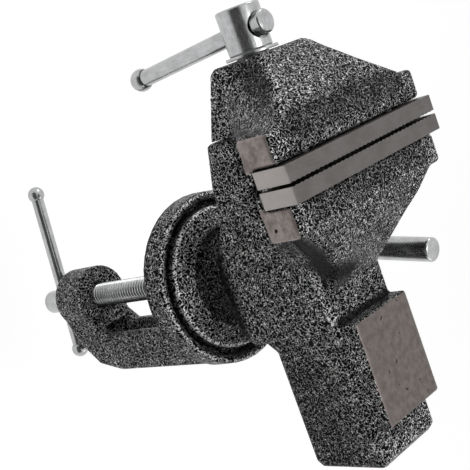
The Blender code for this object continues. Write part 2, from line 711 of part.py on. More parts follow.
def build_vise_body(material, parent):
    side = [
        (RAIL_FRONT, BEAM_BOTTOM + BODY_EDGE),
        (RAIL_FRONT + BELLY_RAMP, BEAM_BOTTOM - BODY_EDGE - BODY_EDGE / 2),
        (-BELLY_FRONT - BELLY_RAMP, BEAM_BOTTOM - BODY_EDGE - BODY_EDGE),
        (-BELLY_FRONT, BELLY_BOTTOM),
        (BELLY_REAR, BELLY_BOTTOM),
        (BELLY_REAR + REAR_RAMP, BELLY_BOTTOM + REAR_RAMP),
        (BELLY_REAR + REAR_RAMP, BEAM_BOTTOM - REAR_STEP),
        (BELLY_REAR + REAR_RAMP + REAR_STEP, BEAM_BOTTOM),
        (BEAM_END - TAIL_CHAMFER, BEAM_BOTTOM),
        (BEAM_END, BEAM_BOTTOM + TAIL_CHAMFER),
        (BEAM_END, BEAM_TOP - TAIL_CHAMFER),
        (BEAM_END - TAIL_CHAMFER, BEAM_TOP),
        (COLUMN_FRONT, BEAM_TOP),
        (COLUMN_FRONT, RAIL_TOP),
        (RAIL_FRONT, RAIL_TOP),
    ]
    body = make_piece(
        "vise_body",
        lambda bm: add_prism(bm, side, "X", -BODY_HALF, BODY_HALF, BODY_EDGE),
        material,
        parent=parent,
    )
    table_profile = [
        (0.0, TURNTABLE_BOTTOM),
        (TURNTABLE_RADIUS - TURNTABLE_CHAMFER, TURNTABLE_BOTTOM),
        (TURNTABLE_RADIUS, TURNTABLE_BOTTOM + TURNTABLE_CHAMFER),
        (TURNTABLE_RADIUS, TURNTABLE_TOP - TURNTABLE_CHAMFER),
        (TURNTABLE_RADIUS - TURNTABLE_CHAMFER, TURNTABLE_TOP),
        (STEP_RADIUS - TURNTABLE_CHAMFER, NECK_BOTTOM),
        (NECK_RADIUS + NECK_POCKET_WIDTH, NECK_BOTTOM),
        (NECK_RADIUS + NECK_POCKET_WIDTH, POCKET_FLOOR),
        (NECK_RADIUS + NECK_FOOT, POCKET_FLOOR),
        (NECK_RADIUS, POCKET_FLOOR + NECK_FOOT),
        (NECK_RADIUS, BELLY_BOTTOM + CUT_MARGIN),
        (0.0, BELLY_BOTTOM + CUT_MARGIN),
    ]
    fuse(body, "turntable", turned(table_profile, "Z", ROUND_SEGMENTS))
    rings = flare_rings(
        FIXED_FLARE_STATIONS,
        FIXED_FLARE_WIDTH_SHARES,
        FIXED_FLARE_TOP_SHARES,
        FIXED_BLOCK_REAR - JOINT_OVERLAP,
        FIXED_FLARE_LENGTH,
        FIXED_FLARE_NECK,
        FLARE_HALF,
        BEAM_TOP,
        BLOCK_TOP - FLARE_TOP_DROP,
        BODY_HALF - JOINT_OVERLAP,
        lambda station: (SLIDE_BOTTOM, FLARE_EDGE),
    )
    fuse(body, "fixed_flare", lofted(rings))
    column = gusset_outline(BODY_HALF - JOINT_OVERLAP, RAIL_TOP + JOINT_OVERLAP)
    fuse(
        body,
        "fixed_gusset",
        lambda bm: add_prism(bm, column, "Y", COLUMN_FRONT + JOINT_OVERLAP / 2, FIXED_BLOCK_REAR),
    )
    fuse(
        body,
        "fixed_block",
        lambda bm: add_box(
            bm,
            (-BLOCK_HALF, FIXED_SEAT, BLOCK_BOTTOM),
            (BLOCK_HALF, FIXED_BLOCK_REAR, BLOCK_TOP),
            BLOCK_EDGE,
        ),
    )
    fuse(body, "fixed_ledge", ledge(FIXED_SEAT, FIXED_PLATE_FRONT))
    fuse(
        body,
        "anvil_pad",
        lambda bm: add_box(
            bm,
            (-PAD_HALF, PAD_START, BEAM_TOP - CUT_MARGIN),
            (PAD_HALF, PAD_END, PAD_TOP),
            PAD_CHAMFER,
        ),
    )
    cut(
        body,
        "slide_channel",
        lambda bm: add_box(
            bm,
            (-CHANNEL_HALF, RAIL_FRONT - CUT_MARGIN, CHANNEL_FLOOR),
            (CHANNEL_HALF, BEAM_END + CUT_MARGIN, CHANNEL_ROOF),
        ),
    )
    cut(
        body,
        "post_bore",
        turned(
            cylinder_profile(POST_RADIUS + FIT_GAP, -CUT_MARGIN, POST_TOP + FIT_GAP),
            "Z",
            ROUND_SEGMENTS,
        ),
    )
    nut_middle = COLUMN_FRONT + FIT_GAP + NUT_LENGTH / 2
    cut(
        body,
        "nut_stem_bore",
        turned(
            cylinder_profile(
                NUT_STEM_RADIUS + FIT_GAP,
                CHANNEL_ROOF - CUT_MARGIN,
                SLIDE_TOP + FIT_GAP + NUT_STEM_HEIGHT + FIT_GAP,
            ),
            "Z",
            SMALL_SEGMENTS,
            (0.0, nut_middle, 0.0),
        ),
    )
    cut(
        body,
        "lock_bore",
        turned(
            cylinder_profile(
                LOCK_THREAD_RADIUS + FIT_GAP,
                -NECK_RADIUS - CUT_MARGIN,
                -POST_RADIUS,
            ),
            "X",
            SMALL_SEGMENTS,
            (0.0, 0.0, LOCK_HEIGHT),
            HALF_STEP,
        ),
    )
    for side_name, side_sign in (("left", -1), ("right", 1)):
        cut(
            body,
            f"fixed_screw_bore_{side_name}",
            turned(
                cylinder_profile(
                    PLATE_SCREW_RADIUS + FIT_GAP,
                    FIXED_SEAT - CUT_MARGIN,
                    FIXED_SEAT + PLATE_SCREW_LENGTH,
                ),
                "Y",
                SMALL_SEGMENTS,
                (side_sign * PLATE_SCREW_SPREAD, 0.0, PLATE_SCREW_HEIGHT),
            ),
        )
    return body


def gusset_outline(column_half, column_bottom):
    """A jaw's underside: the block's width narrowing to the column."""
    right = [
        (BLOCK_HALF - FLARE_UNDER, BLOCK_BOTTOM + BLOCK_EDGE + JOINT_OVERLAP),
        (BLOCK_HALF - FLARE_UNDER, BLOCK_BOTTOM + BLOCK_EDGE),
        (column_half, SCREW_HEIGHT - FLARE_SIDE_HEIGHT),
        (column_half, column_bottom),
    ]
    left = [(-first, second) for first, second in reversed(right)]
    return right + left


def ledge(seat, face):
    """The shelf under a jaw plate, from its seat to just short of its gripping face."""
    way = 1 if face > seat else -1
    root = seat - way * BLOCK_EDGE * 2
    end = face - way * LEDGE_SETBACK
    low = (-BLOCK_HALF, min(root, end), BLOCK_BOTTOM)
    high = (BLOCK_HALF, max(root, end), PLATE_BOTTOM - FIT_GAP)
    return lambda bm: add_box(bm, low, high, LEDGE_EDGE)


def build_moving_jaw(material, parent):
    front_bottom = SCREW_HEIGHT - BOSS_BOTTOM
    rear_bottom = BEAM_BOTTOM + BODY_EDGE

    def chin_bottom(station):
        return front_bottom + (rear_bottom - front_bottom) * station, BOSS_CORNER

    boss_top = SCREW_HEIGHT + BOSS_TOP
    rings = flare_rings(
        MOVING_FLARE_STATIONS,
        MOVING_FLARE_WIDTH_SHARES,
        MOVING_FLARE_TOP_SHARES,
        CHIN_FRONT,
        BOSS_LENGTH,
        BOSS_HALF_WIDTH,
        FLARE_HALF,
        boss_top,
        BLOCK_TOP - FLARE_TOP_DROP,
        BODY_HALF,
        chin_bottom,
    )
    shrink = (BODY_HALF - BOSS_FACE_INSET) / BODY_HALF
    rings[0] = [
        SCREW_AXIS + Vector((spot.x * shrink, spot.y, (spot.z - SCREW_HEIGHT) * shrink))
        for spot in rings[0]
    ]
    jaw = make_piece("moving_jaw", lofted(rings), material, SCREW_AXIS, parent)
    column = gusset_outline(BODY_HALF - JOINT_OVERLAP, RAIL_TOP + FIT_GAP)
    fuse(
        jaw,
        "moving_gusset",
        lambda bm: add_prism(bm, column, "Y", CHIN_REAR - JOINT_OVERLAP * 2, SADDLE_REAR),
    )
    fuse(
        jaw,
        "moving_block",
        lambda bm: add_box(
            bm,
            (-BLOCK_HALF, MOVING_BLOCK_FRONT - JOINT_OVERLAP, BLOCK_BOTTOM),
            (BLOCK_HALF, MOVING_SEAT, BLOCK_TOP),
            BLOCK_EDGE,
        ),
    )
    fuse(jaw, "moving_ledge", ledge(MOVING_SEAT, MOVING_PLATE_BACK))
    fuse(
        jaw,
        "slide_bar",
        lambda bm: add_box(
            bm,
            (-SLIDE_HALF, BOSS_REAR - JOINT_OVERLAP, SLIDE_BOTTOM),
            (SLIDE_HALF, SLIDE_END, SLIDE_TOP),
        ),
    )
    cut(
        jaw,
        "trough",
        lambda bm: add_box(
            bm,
            (-TROUGH_HALF, BOSS_REAR, TROUGH_FLOOR),
            (TROUGH_HALF, SLIDE_END + CUT_MARGIN, SLIDE_TOP + CUT_MARGIN),
        ),
    )
    cut(
        jaw,
        "screw_bore",
        turned(
            cylinder_profile(
                SCREW_RADIUS + FIT_GAP,
                CHIN_FRONT - CUT_MARGIN,
                BOSS_REAR + CUT_MARGIN,
            ),
            "Y",
            SMALL_SEGMENTS,
            SCREW_AXIS,
        ),
    )
    cut(
        jaw,
        "stop_pin_bore",
        turned(
            cylinder_profile(
                STOP_PIN_RADIUS + FIT_GAP,
                -SLIDE_HALF - CUT_MARGIN,
                SLIDE_HALF + CUT_MARGIN,
            ),
            "X",
            SMALL_SEGMENTS,
            (0.0, STOP_PIN_STATION, STOP_PIN_HEIGHT),
        ),
    )
    for side_name, side_sign in (("left", -1), ("right", 1)):
        cut(
            jaw,
            f"moving_screw_bore_{side_name}",
            turned(
                cylinder_profile(
                    PLATE_SCREW_RADIUS + FIT_GAP,
                    MOVING_SEAT - PLATE_SCREW_LENGTH,
                    MOVING_SEAT + CUT_MARGIN,
                ),
                "Y",
                SMALL_SEGMENTS,
                (side_sign * PLATE_SCREW_SPREAD, 0.0, PLATE_SCREW_HEIGHT),
            ),
        )
    return jaw


# Jaw plates with upright teeth on the gripping face
def plate_outline(back, front):
    """Section of a plate seen from above, toothed along its gripping face."""
    inward = 1 if front > back else -1
    half = JAW_WIDTH / 2
    count = int(JAW_WIDTH / TOOTH_PITCH)
    start = -count * TOOTH_PITCH / 2
    points = [(-half, back), (-half, front - inward * TOOTH_DEPTH)]
    for tooth in range(count):
        left = start + tooth * TOOTH_PITCH
        rise, fall, root = (left + TOOTH_PITCH * share for share in TOOTH_SHARES)
        points.append((rise, front))
        points.append((fall, front))
        points.append((root, front - inward * TOOTH_DEPTH))
    points[-1] = (half, front - inward * TOOTH_DEPTH)
    points.append((half, back))
    return points


def build_plate(name, back, front, material, origin, parent):
    inward = 1 if front > back else -1
    outline = plate_outline(back, front)
    plate = make_piece(
        name,
        lambda bm: add_prism(bm, outline, "Z", PLATE_BOTTOM, JAW_TOP),
        material,
        origin,
        parent,
    )
    reach = PLATE_CHAMFER + CUT_MARGIN
    edge_cut = [
        (front - inward * reach, JAW_TOP + CUT_MARGIN),
        (front + inward * CUT_MARGIN, JAW_TOP - reach),
        (front + inward * CUT_MARGIN, JAW_TOP + CUT_MARGIN),
    ]
    cut(
        plate,
        f"{name}_top_chamfer",
        lambda bm: add_prism(bm, edge_cut, "X", -JAW_WIDTH, JAW_WIDTH),
    )
    for side_name, side_sign in (("left", -1), ("right", 1)):
        spot = (side_sign * PLATE_SCREW_SPREAD, 0.0, PLATE_SCREW_HEIGHT)
        sunk = front - inward * (PLATE_SCREW_SUNK + TOOTH_DEPTH)
        cone_end = sunk - inward * PLATE_SCREW_HEAD_DEPTH
        profile = [
            (0.0, front + inward * CUT_MARGIN),
            (PLATE_SCREW_HEAD + FIT_GAP, front + inward * CUT_MARGIN),
            (PLATE_SCREW_HEAD + FIT_GAP, sunk),
            (PLATE_SCREW_RADIUS + FIT_GAP, cone_end),
            (PLATE_SCREW_RADIUS + FIT_GAP, back - inward * CUT_MARGIN),
            (0.0, back - inward * CUT_MARGIN),
        ]
        cut(plate, f"{name}_hole_{side_name}", turned(profile, "Y", SMALL_SEGMENTS, spot))
    return plate


def build_plate_screw(name, back, front, side_sign, material, origin, parent):
    inward = 1 if front > back else -1
    sunk = front - inward * (PLATE_SCREW_SUNK + TOOTH_DEPTH)
    cone_end = sunk - inward * PLATE_SCREW_HEAD_DEPTH
    tip = back - inward * (PLATE_SCREW_LENGTH - FIT_GAP - FIT_GAP)
    profile = [
        (0.0, sunk),
        (PLATE_SCREW_HEAD, sunk),
        (PLATE_SCREW_RADIUS, cone_end),
        (PLATE_SCREW_RADIUS, tip),
        (0.0, tip),
    ]
    spot = (side_sign * PLATE_SCREW_SPREAD, 0.0, PLATE_SCREW_HEIGHT)
    screw = make_piece(name, turned(profile, "Y", SMALL_SEGMENTS, spot), material, origin, parent)
    socket = [
        (0.0, sunk + inward * CUT_MARGIN),
        (PLATE_SCREW_SOCKET, sunk + inward * CUT_MARGIN),
        (PLATE_SCREW_SOCKET, sunk - inward * PLATE_SCREW_SOCKET_DEPTH),
        (0.0, sunk - inward * PLATE_SCREW_SOCKET_DEPTH),
    ]
    cut(screw, f"{name}_socket", turned(socket, "Y", SOCKET_SIDES, spot))
    return screw


# Main screw group
def build_main_screw(material, parent):
    thread_start = RING_REAR + FIT_GAP + FIT_GAP
    marks = (
        (0.0, 0.0),
        (THREAD_CREST_SHARE, 0.0),
        (THREAD_CREST_SHARE + THREAD_FLANK_SHARE, 1.0),
        (1.0 - THREAD_FLANK_SHARE, 1.0),
    )
    screw = make_piece(
        "main_screw",
        lambda bm: add_thread(
            bm,
            "Y",
            SCREW_AXIS,
            thread_start,
            THREAD_END,
            THREAD_RADIUS,
            THREAD_DEPTH,
            THREAD_PITCH,
            THREAD_SEGMENTS,
            marks,
        ),
        material,
        SCREW_AXIS,
        parent,
    )
    limits = [
        (0.0, thread_start),
        (THREAD_RADIUS + THREAD_DEPTH, thread_start),
        (THREAD_RADIUS + THREAD_DEPTH, THREAD_END - THREAD_RUNOUT - THREAD_DEPTH),
        (THREAD_RADIUS - THREAD_RUNOUT, THREAD_END),
        (0.0, THREAD_END),
    ]
    keep_inside(screw, "thread_length", turned(limits, "Y", ROUND_SEGMENTS, SCREW_AXIS, HALF_STEP))
    ring_neck = RING_INNER - FIT_GAP
    shank = [
        (0.0, HEAD_FRONT),
        (HEAD_RADIUS - HEAD_CHAMFER, HEAD_FRONT),
        (HEAD_RADIUS, HEAD_FRONT + HEAD_CHAMFER),
        (HEAD_RADIUS, HEAD_REAR - HEAD_CHAMFER),
        (HEAD_RADIUS - HEAD_CHAMFER, HEAD_REAR),
        (SCREW_RADIUS, HEAD_REAR),
        (SCREW_RADIUS, RING_FRONT - FIT_GAP),
        (ring_neck, RING_FRONT - FIT_GAP),
        (ring_neck, RING_REAR + FIT_GAP),
        (SCREW_RADIUS, RING_REAR + FIT_GAP),
        (SCREW_RADIUS, thread_start + THREAD_RUNOUT),
        (0.0, thread_start + THREAD_RUNOUT),
    ]
    fuse(screw, "screw_shank", turned(shank, "Y", ROUND_SEGMENTS, SCREW_AXIS))
    seat_level = HEAD_RADIUS - HEAD_SEAT_DEPTH
    handle_bore = [
        (0.0, -HEAD_RADIUS - CUT_MARGIN),
        (HEAD_HOLE_RADIUS, -HEAD_RADIUS - CUT_MARGIN),
        (HEAD_HOLE_RADIUS, seat_level),
        (HANDLE_KNOB_RADIUS + KNOB_SEAT_GAP, seat_level),
        (HANDLE_KNOB_RADIUS + KNOB_SEAT_GAP, HEAD_RADIUS + CUT_MARGIN),
        (0.0, HEAD_RADIUS + CUT_MARGIN),
    ]
    cut(screw, "handle_bore", turned(handle_bore, "Z", SMALL_SEGMENTS, HANDLE_CENTRE))
    return screw


def build_ring(material, parent):
    """An open clip in the screw's groove, behind the boss wall."""
    outer, inner = [], []
    steps = SMALL_SEGMENTS
    gap = math.tau * RING_MOUTH_SHARE
    for step in range(steps + 1):
        angle = math.pi / 2 + gap / 2 + (math.tau - gap) * step / steps
        outer.append((RING_OUTER * math.cos(angle), SCREW_HEIGHT + RING_OUTER * math.sin(angle)))
        inner.append((RING_INNER * math.cos(angle), SCREW_HEIGHT + RING_INNER * math.sin(angle)))
    outline = outer + list(reversed(inner))
    return make_piece(
        "retaining_clip",
        lambda bm: add_prism(bm, outline, "Y", RING_FRONT, RING_REAR),
        material,
        SCREW_AXIS,
        parent,
    )


def build_washer(material, parent):
    profile = [
        (SCREW_RADIUS + FIT_GAP, WASHER_FRONT),
        (WASHER_RADIUS, WASHER_FRONT),
        (WASHER_RADIUS, WASHER_FRONT + WASHER_THICKNESS),
        (SCREW_RADIUS + FIT_GAP, WASHER_FRONT + WASHER_THICKNESS),
    ]
    return make_piece(
        "main_screw_washer",
        turned(profile, "Y", ROUND_SEGMENTS, SCREW_AXIS),
        material,
        SCREW_AXIS,
        parent,
    )


def build_nut(material, parent):
    front = COLUMN_FRONT + FIT_GAP
    rear = front + NUT_LENGTH
    half = TROUGH_HALF - FIT_GAP
    nut = make_piece(
        "lead_nut",
        lambda bm: add_box(
            bm,
            (-half, front, SCREW_HEIGHT - SCREW_RADIUS - NUT_UNDER),
            (half, rear, SLIDE_TOP + FIT_GAP),
        ),
        material,
        parent=parent,
    )
    fuse(
        nut,
        "nut_stem",
        turned(
            cylinder_profile(
                NUT_STEM_RADIUS,
                SCREW_HEIGHT + SCREW_RADIUS - FIT_GAP,
                SLIDE_TOP + FIT_GAP + NUT_STEM_HEIGHT,
            ),
            "Z",
            SMALL_SEGMENTS,
            (0.0, (front + rear) / 2, 0.0),
        ),
    )
    cut(
        nut,
        "nut_bore",
        turned(
            cylinder_profile(SCREW_RADIUS + FIT_GAP, front - CUT_MARGIN, rear + CUT_MARGIN),
            "Y",
            SMALL_SEGMENTS,
            SCREW_AXIS,
        ),
    )
    return nut


def knob_profile(radius, bore, start, length, chamfer):
    """A short barrel knob from its mouth at start outwards, with a blind bore at the mouth."""
    way = 1 if length > 0 else -1
    depth = way * KNOB_BORE_DEPTH
    return [
        (0.0, start + depth),
        (bore, start + depth),
        (bore, start),
        (radius - chamfer, start),
        (radius, start + way * chamfer),
        (radius, start + length - way * chamfer),
        (radius - chamfer, start + length),
        (0.0, start + length),
    ]


def ball_profile(radius, bore, centre, way, mouth):
    """A ball knob with a blind bore facing its bar."""
    start_angle = math.asin(min(1.0, mouth / radius))
    points = [
        (0.0, centre - way * (radius * math.cos(start_angle) - KNOB_BORE_DEPTH)),
        (bore, centre - way * (radius * math.cos(start_angle) - KNOB_BORE_DEPTH)),
        (bore, centre - way * radius * math.cos(start_angle)),
    ]
    steps = BALL_STEPS + BALL_STEPS
    for step in range(steps):
        angle = start_angle + (math.pi - start_angle) * step / steps
        points.append((radius * math.sin(angle), centre - way * radius * math.cos(angle)))
    points.append((0.0, centre + way * radius))
    return points


def build_main_handle(bar_material, knob_material, parent):
    """The bar hangs in its loose hole, so it leans by a small angle."""
    lean = Matrix.Rotation(HANDLE_LEAN, 3, "X")
    top_knob_low = HEAD_RADIUS - HEAD_SEAT_DEPTH + KNOB_SEAT_GAP
    mouth = HANDLE_RADIUS + FIT_GAP + FIT_GAP
    ball_mouth = -HANDLE_DROP + math.sqrt(HANDLE_BALL_RADIUS**2 - mouth**2)
    bar_low = ball_mouth - KNOB_BORE_DEPTH + FIT_GAP
    bar_high = top_knob_low + KNOB_BORE_DEPTH - FIT_GAP
    bore = HANDLE_RADIUS + FIT_GAP
    shapes = (
        ("main_handle_bar", cylinder_profile(HANDLE_RADIUS, bar_low, bar_high), bar_material),
        (
            "main_handle_knob_top",
            knob_profile(
                HANDLE_KNOB_RADIUS,
                bore,
                top_knob_low,
                HANDLE_KNOB_LENGTH,
                HANDLE_KNOB_CHAMFER,
            ),
            knob_material,
        ),
        (
            "main_handle_knob_bottom",
            ball_profile(HANDLE_BALL_RADIUS, bore, -HANDLE_DROP, -1, mouth),
            knob_material,
        ),
    )
    for name, profile, material in shapes:

        def builder(bm, profile=profile):
            add_turned(bm, profile, "Z", SMALL_SEGMENTS, HANDLE_CENTRE)
            bmesh.ops.rotate(bm, cent=HANDLE_CENTRE, matrix=lean, verts=list(bm.verts))

        make_piece(name, builder, material, HANDLE_CENTRE, parent)


# Swivel lock
def build_lock_lever(material, parent):
    tip_start = -(POST_RADIUS - POST_GROOVE_DEPTH) - FIT_GAP
    thread_start = -POST_RADIUS - FIT_GAP
    rod_start = -BODY_HALF - LOCK_SHOULDER
    bend_start = rod_start - LOCK_STRAIGHT
    path = [
        Vector((tip_start, 0.0, 0.0)),
        Vector((thread_start, 0.0, 0.0)),
        Vector((thread_start - FIT_GAP, 0.0, 0.0)),
        Vector((rod_start, 0.0, 0.0)),
        Vector((rod_start - LOCK_CHAMFER, 0.0, 0.0)),
        Vector((bend_start, 0.0, 0.0)),
    ]
    radii = [
        LOCK_TIP_RADIUS,
        LOCK_TIP_RADIUS,
        LOCK_THREAD_RADIUS,
        LOCK_THREAD_RADIUS,
        LOCK_ROD_RADIUS,
        LOCK_ROD_RADIUS,
    ]
    for step in range(1, BEND_STEPS + 1):
        angle = math.pi / 2 * step / BEND_STEPS
        path.append(
            Vector(
                (
                    bend_start - LOCK_BEND * math.sin(angle),
                    0.0,
                    LOCK_BEND * (1.0 - math.cos(angle)),
                )
            )
        )
        radii.append(LOCK_ROD_RADIUS)
    top = LOCK_BEND + LOCK_ARM
    path.append(Vector((bend_start - LOCK_BEND, 0.0, top - LOCK_CHAMFER)))
    radii.append(LOCK_ROD_RADIUS)
    path.append(Vector((bend_start - LOCK_BEND, 0.0, top)))
    radii.append(LOCK_ROD_RADIUS - LOCK_CHAMFER)
    lean = Matrix.Rotation(-LOCK_LEAN, 3, "X")
    axis_point = Vector((0.0, 0.0, LOCK_HEIGHT))
    rings = swept_rings(path, radii, SMALL_SEGMENTS, Vector((0.0, 1.0, 0.0)))
    rings = [[axis_point + lean @ spot for spot in ring] for ring in rings]
    origin = Vector((-BODY_HALF, 0.0, LOCK_HEIGHT))
    return make_piece("lock_lever", lambda bm: add_loft(bm, rings), material, origin, parent)


# Screw clamp group
def build_clamp_screw(material, parent):
    thread_low = CLAMP_HANDLE_LEVEL + CLAMP_HANDLE_DROP - CLAMP_SHANK / 2
    marks = ((0.0, 0.0), (CLAMP_ROOT_SHARE, 1.0))
    screw = make_piece(
        "clamp_screw",
        lambda bm: add_thread(
            bm,
            "Z",
            (0.0, 0.0, 0.0),
            thread_low,
            NECK_LEVEL,
            CLAMP_RADIUS - FIT_GAP / 2,
            CLAMP_THREAD_DEPTH,
            CLAMP_PITCH,
            CLAMP_THREAD_SEGMENTS,
            marks,
        ),
        material,
        parent=parent,
    )
    limits = [
        (0.0, thread_low),
        (CLAMP_RADIUS + CUT_MARGIN, thread_low),
        (CLAMP_RADIUS + CUT_MARGIN, NECK_LEVEL - CUT_MARGIN - CLAMP_THREAD_DEPTH * 2),
        (CLAMP_RADIUS - CLAMP_THREAD_DEPTH * 2, NECK_LEVEL),
        (0.0, NECK_LEVEL),
    ]
    keep_inside(
        screw,
        "clamp_thread_length",
        turned(limits, "Z", ROUND_SEGMENTS, phase=HALF_STEP),
    )
    lower = [
        (0.0, CLAMP_SCREW_BOTTOM),
        (CLAMP_RADIUS - CLAMP_HEAD_CHAMFER, CLAMP_SCREW_BOTTOM),
        (CLAMP_RADIUS, CLAMP_SCREW_BOTTOM + CLAMP_HEAD_CHAMFER),
        (CLAMP_RADIUS, thread_low + THREAD_RUNOUT),
        (0.0, thread_low + THREAD_RUNOUT),
    ]
    fuse(screw, "clamp_shank", turned(lower, "Z", SMALL_SEGMENTS))
    ball = [(0.0, NECK_LEVEL - CUT_MARGIN), (BALL_NECK_RADIUS, NECK_LEVEL - CUT_MARGIN)]
    start = math.asin(BALL_NECK_RADIUS / BALL_RADIUS)
    for step in range(BALL_STEPS + 1):
        angle = start + (math.pi - start) * step / (BALL_STEPS + 1)
        ball.append((BALL_RADIUS * math.sin(angle), BALL_LEVEL - BALL_RADIUS * math.cos(angle)))
    ball.append((0.0, BALL_LEVEL + BALL_RADIUS))
    fuse(screw, "clamp_ball", turned(ball, "Z", SMALL_SEGMENTS))
    bore = cylinder_profile(
        CLAMP_HANDLE_RADIUS + FIT_GAP,
        -CLAMP_RADIUS - CUT_MARGIN,
        CLAMP_RADIUS + CUT_MARGIN,
    )
    turn = Matrix.Rotation(CLAMP_HANDLE_TURN, 3, "Z")

    def handle_bore(bm):
        add_turned(bm, bore, "Y", SMALL_SEGMENTS, (0.0, 0.0, CLAMP_HANDLE_LEVEL))
        bmesh.ops.rotate(bm, cent=(0.0, 0.0, 0.0), matrix=turn, verts=list(bm.verts))

    cut(screw, "clamp_handle_bore", handle_bore)
    return screw


def build_clamp_pad(material, parent):
    cavity = BALL_RADIUS + FIT_GAP
    mouth = BALL_NECK_RADIUS + FIT_GAP + FIT_GAP
    hub_bottom = CLAMP_PAD_TOP - PAD_PLATE - PAD_HUB_HEIGHT
    profile = [
        (0.0, CLAMP_PAD_TOP),
        (PAD_RADIUS - PAD_PLATE_CHAMFER, CLAMP_PAD_TOP),
        (PAD_RADIUS, CLAMP_PAD_TOP - PAD_PLATE_CHAMFER),
        (PAD_RADIUS, CLAMP_PAD_TOP - PAD_PLATE + PAD_PLATE_CHAMFER),
        (PAD_HUB_RADIUS, CLAMP_PAD_TOP - PAD_PLATE),
        (PAD_HUB_RADIUS, hub_bottom),
        (mouth, hub_bottom),
    ]
    start = math.asin(mouth / cavity)
    for step in range(BALL_STEPS + 1):
        angle = start + (math.pi - start) * step / (BALL_STEPS + 1)
        profile.append((cavity * math.sin(angle), BALL_LEVEL - cavity * math.cos(angle)))
    profile.append((0.0, BALL_LEVEL + cavity))
    return make_piece("clamp_pad", turned(profile, "Z", SMALL_SEGMENTS), material, parent=parent)


def build_clamp_handle(bar_material, knob_material, parent):
    turn = Matrix.Rotation(CLAMP_HANDLE_TURN, 3, "Z")
    origin = Vector((0.0, 0.0, CLAMP_HANDLE_LEVEL))
    mouth = CLAMP_HANDLE_RADIUS + FIT_GAP + FIT_GAP
    reach = math.sqrt(CLAMP_KNOB_RADIUS**2 - mouth**2)
    bar_front = -CLAMP_HANDLE_FRONT + reach - KNOB_BORE_DEPTH + FIT_GAP
    bar_rear = CLAMP_HANDLE_REAR - reach + KNOB_BORE_DEPTH - FIT_GAP
    shapes = (
        ("clamp_handle_bar", cylinder_profile(CLAMP_HANDLE_RADIUS, bar_front, bar_rear), bar_material),
        (
            "clamp_handle_knob_front",
            ball_profile(
                CLAMP_KNOB_RADIUS,
                CLAMP_HANDLE_RADIUS + FIT_GAP,
                -CLAMP_HANDLE_FRONT,
                -1,
                mouth,
            ),
            knob_material,
        ),
        (
            "clamp_handle_knob_rear",
            ball_profile(
                CLAMP_KNOB_RADIUS,
                CLAMP_HANDLE_RADIUS + FIT_GAP,
                CLAMP_HANDLE_REAR,
                1,
                mouth,
            ),
            knob_material,
        ),
    )
    for name, profile, material in shapes:

        def builder(bm, profile=profile):
            add_turned(bm, profile, "Y", SMALL_SEGMENTS, origin)
            bmesh.ops.rotate(bm, cent=origin, matrix=turn, verts=list(bm.verts))

        make_piece(name, builder, material, origin, parent)


def build_stop_pin(material, parent):
    return make_piece(
        "slide_stop_pin",
        turned(
            cylinder_profile(STOP_PIN_RADIUS, -SLIDE_HALF, SLIDE_HALF),
            "X",
            SMALL_SEGMENTS,
            (0.0, STOP_PIN_STATION, STOP_PIN_HEIGHT),
        ),
        material,
        SCREW_AXIS,
        parent,
    )


def main():
    clear_scene()
    iron = make_material("hammertone_iron", (0.09, 0.09, 0.095), 0.55, 0.45)
    milled = make_material("milled_steel", (0.33, 0.30, 0.29), 0.9, 0.42)
    plated = make_material("plated_steel", (0.62, 0.63, 0.65), 1.0, 0.24)
    nut_metal = make_material("nut_steel", (0.30, 0.29, 0.28), 0.9, 0.5)
    dark_screw = make_material("dark_screw_steel", (0.12, 0.12, 0.12), 0.8, 0.45)

    swivel = make_axis("swivel_axis", (0.0, 0.0, 0.0))
    jaw_slide = make_axis("jaw_slide_axis", SCREW_AXIS, swivel)
    screw_turn = make_axis("main_screw_axis", SCREW_AXIS, jaw_slide)
    handle_slide = make_axis("main_handle_axis", HANDLE_CENTRE, screw_turn)
    lock_turn = make_axis("lock_axis", Vector((-BODY_HALF, 0.0, LOCK_HEIGHT)), swivel)
    clamp_slide = make_axis("clamp_slide_axis", (0.0, 0.0, 0.0))
    clamp_handle_slide = make_axis(
        "clamp_handle_axis", Vector((0.0, 0.0, CLAMP_HANDLE_LEVEL)), clamp_slide
    )

    build_clamp_frame(iron)
    build_vise_body(iron, swivel)
    build_moving_jaw(iron, jaw_slide)
    build_plate("fixed_jaw_plate", FIXED_PLATE_BACK, FIXED_PLATE_FRONT, milled, (0.0, 0.0, 0.0), swivel)
    build_plate("moving_jaw_plate", MOVING_PLATE_FRONT, MOVING_PLATE_BACK, milled, SCREW_AXIS, jaw_slide)
    for side_name, side_sign in (("left", -1), ("right", 1)):
        build_plate_screw(
            f"fixed_plate_screw_{side_name}",
            FIXED_PLATE_BACK,
            FIXED_PLATE_FRONT,
            side_sign,
            dark_screw,
            (0.0, 0.0, 0.0),
            swivel,
        )
        build_plate_screw(
            f"moving_plate_screw_{side_name}",
            MOVING_PLATE_FRONT,
            MOVING_PLATE_BACK,
            side_sign,
            dark_screw,
            SCREW_AXIS,
            jaw_slide,
        )
    build_stop_pin(dark_screw, jaw_slide)
    build_main_screw(plated, screw_turn)
    build_washer(plated, screw_turn)
    build_ring(dark_screw, screw_turn)
    build_nut(nut_metal, swivel)
    build_main_handle(plated, plated, handle_slide)
    build_lock_lever(plated, lock_turn)
    build_clamp_screw(plated, clamp_slide)
    build_clamp_pad(nut_metal, clamp_slide)
    build_clamp_handle(plated, plated, clamp_handle_slide)


main()
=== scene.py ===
"""A small clamp-on bench vise: painted castings, toothed steel jaw plates and plated screws and handles."""

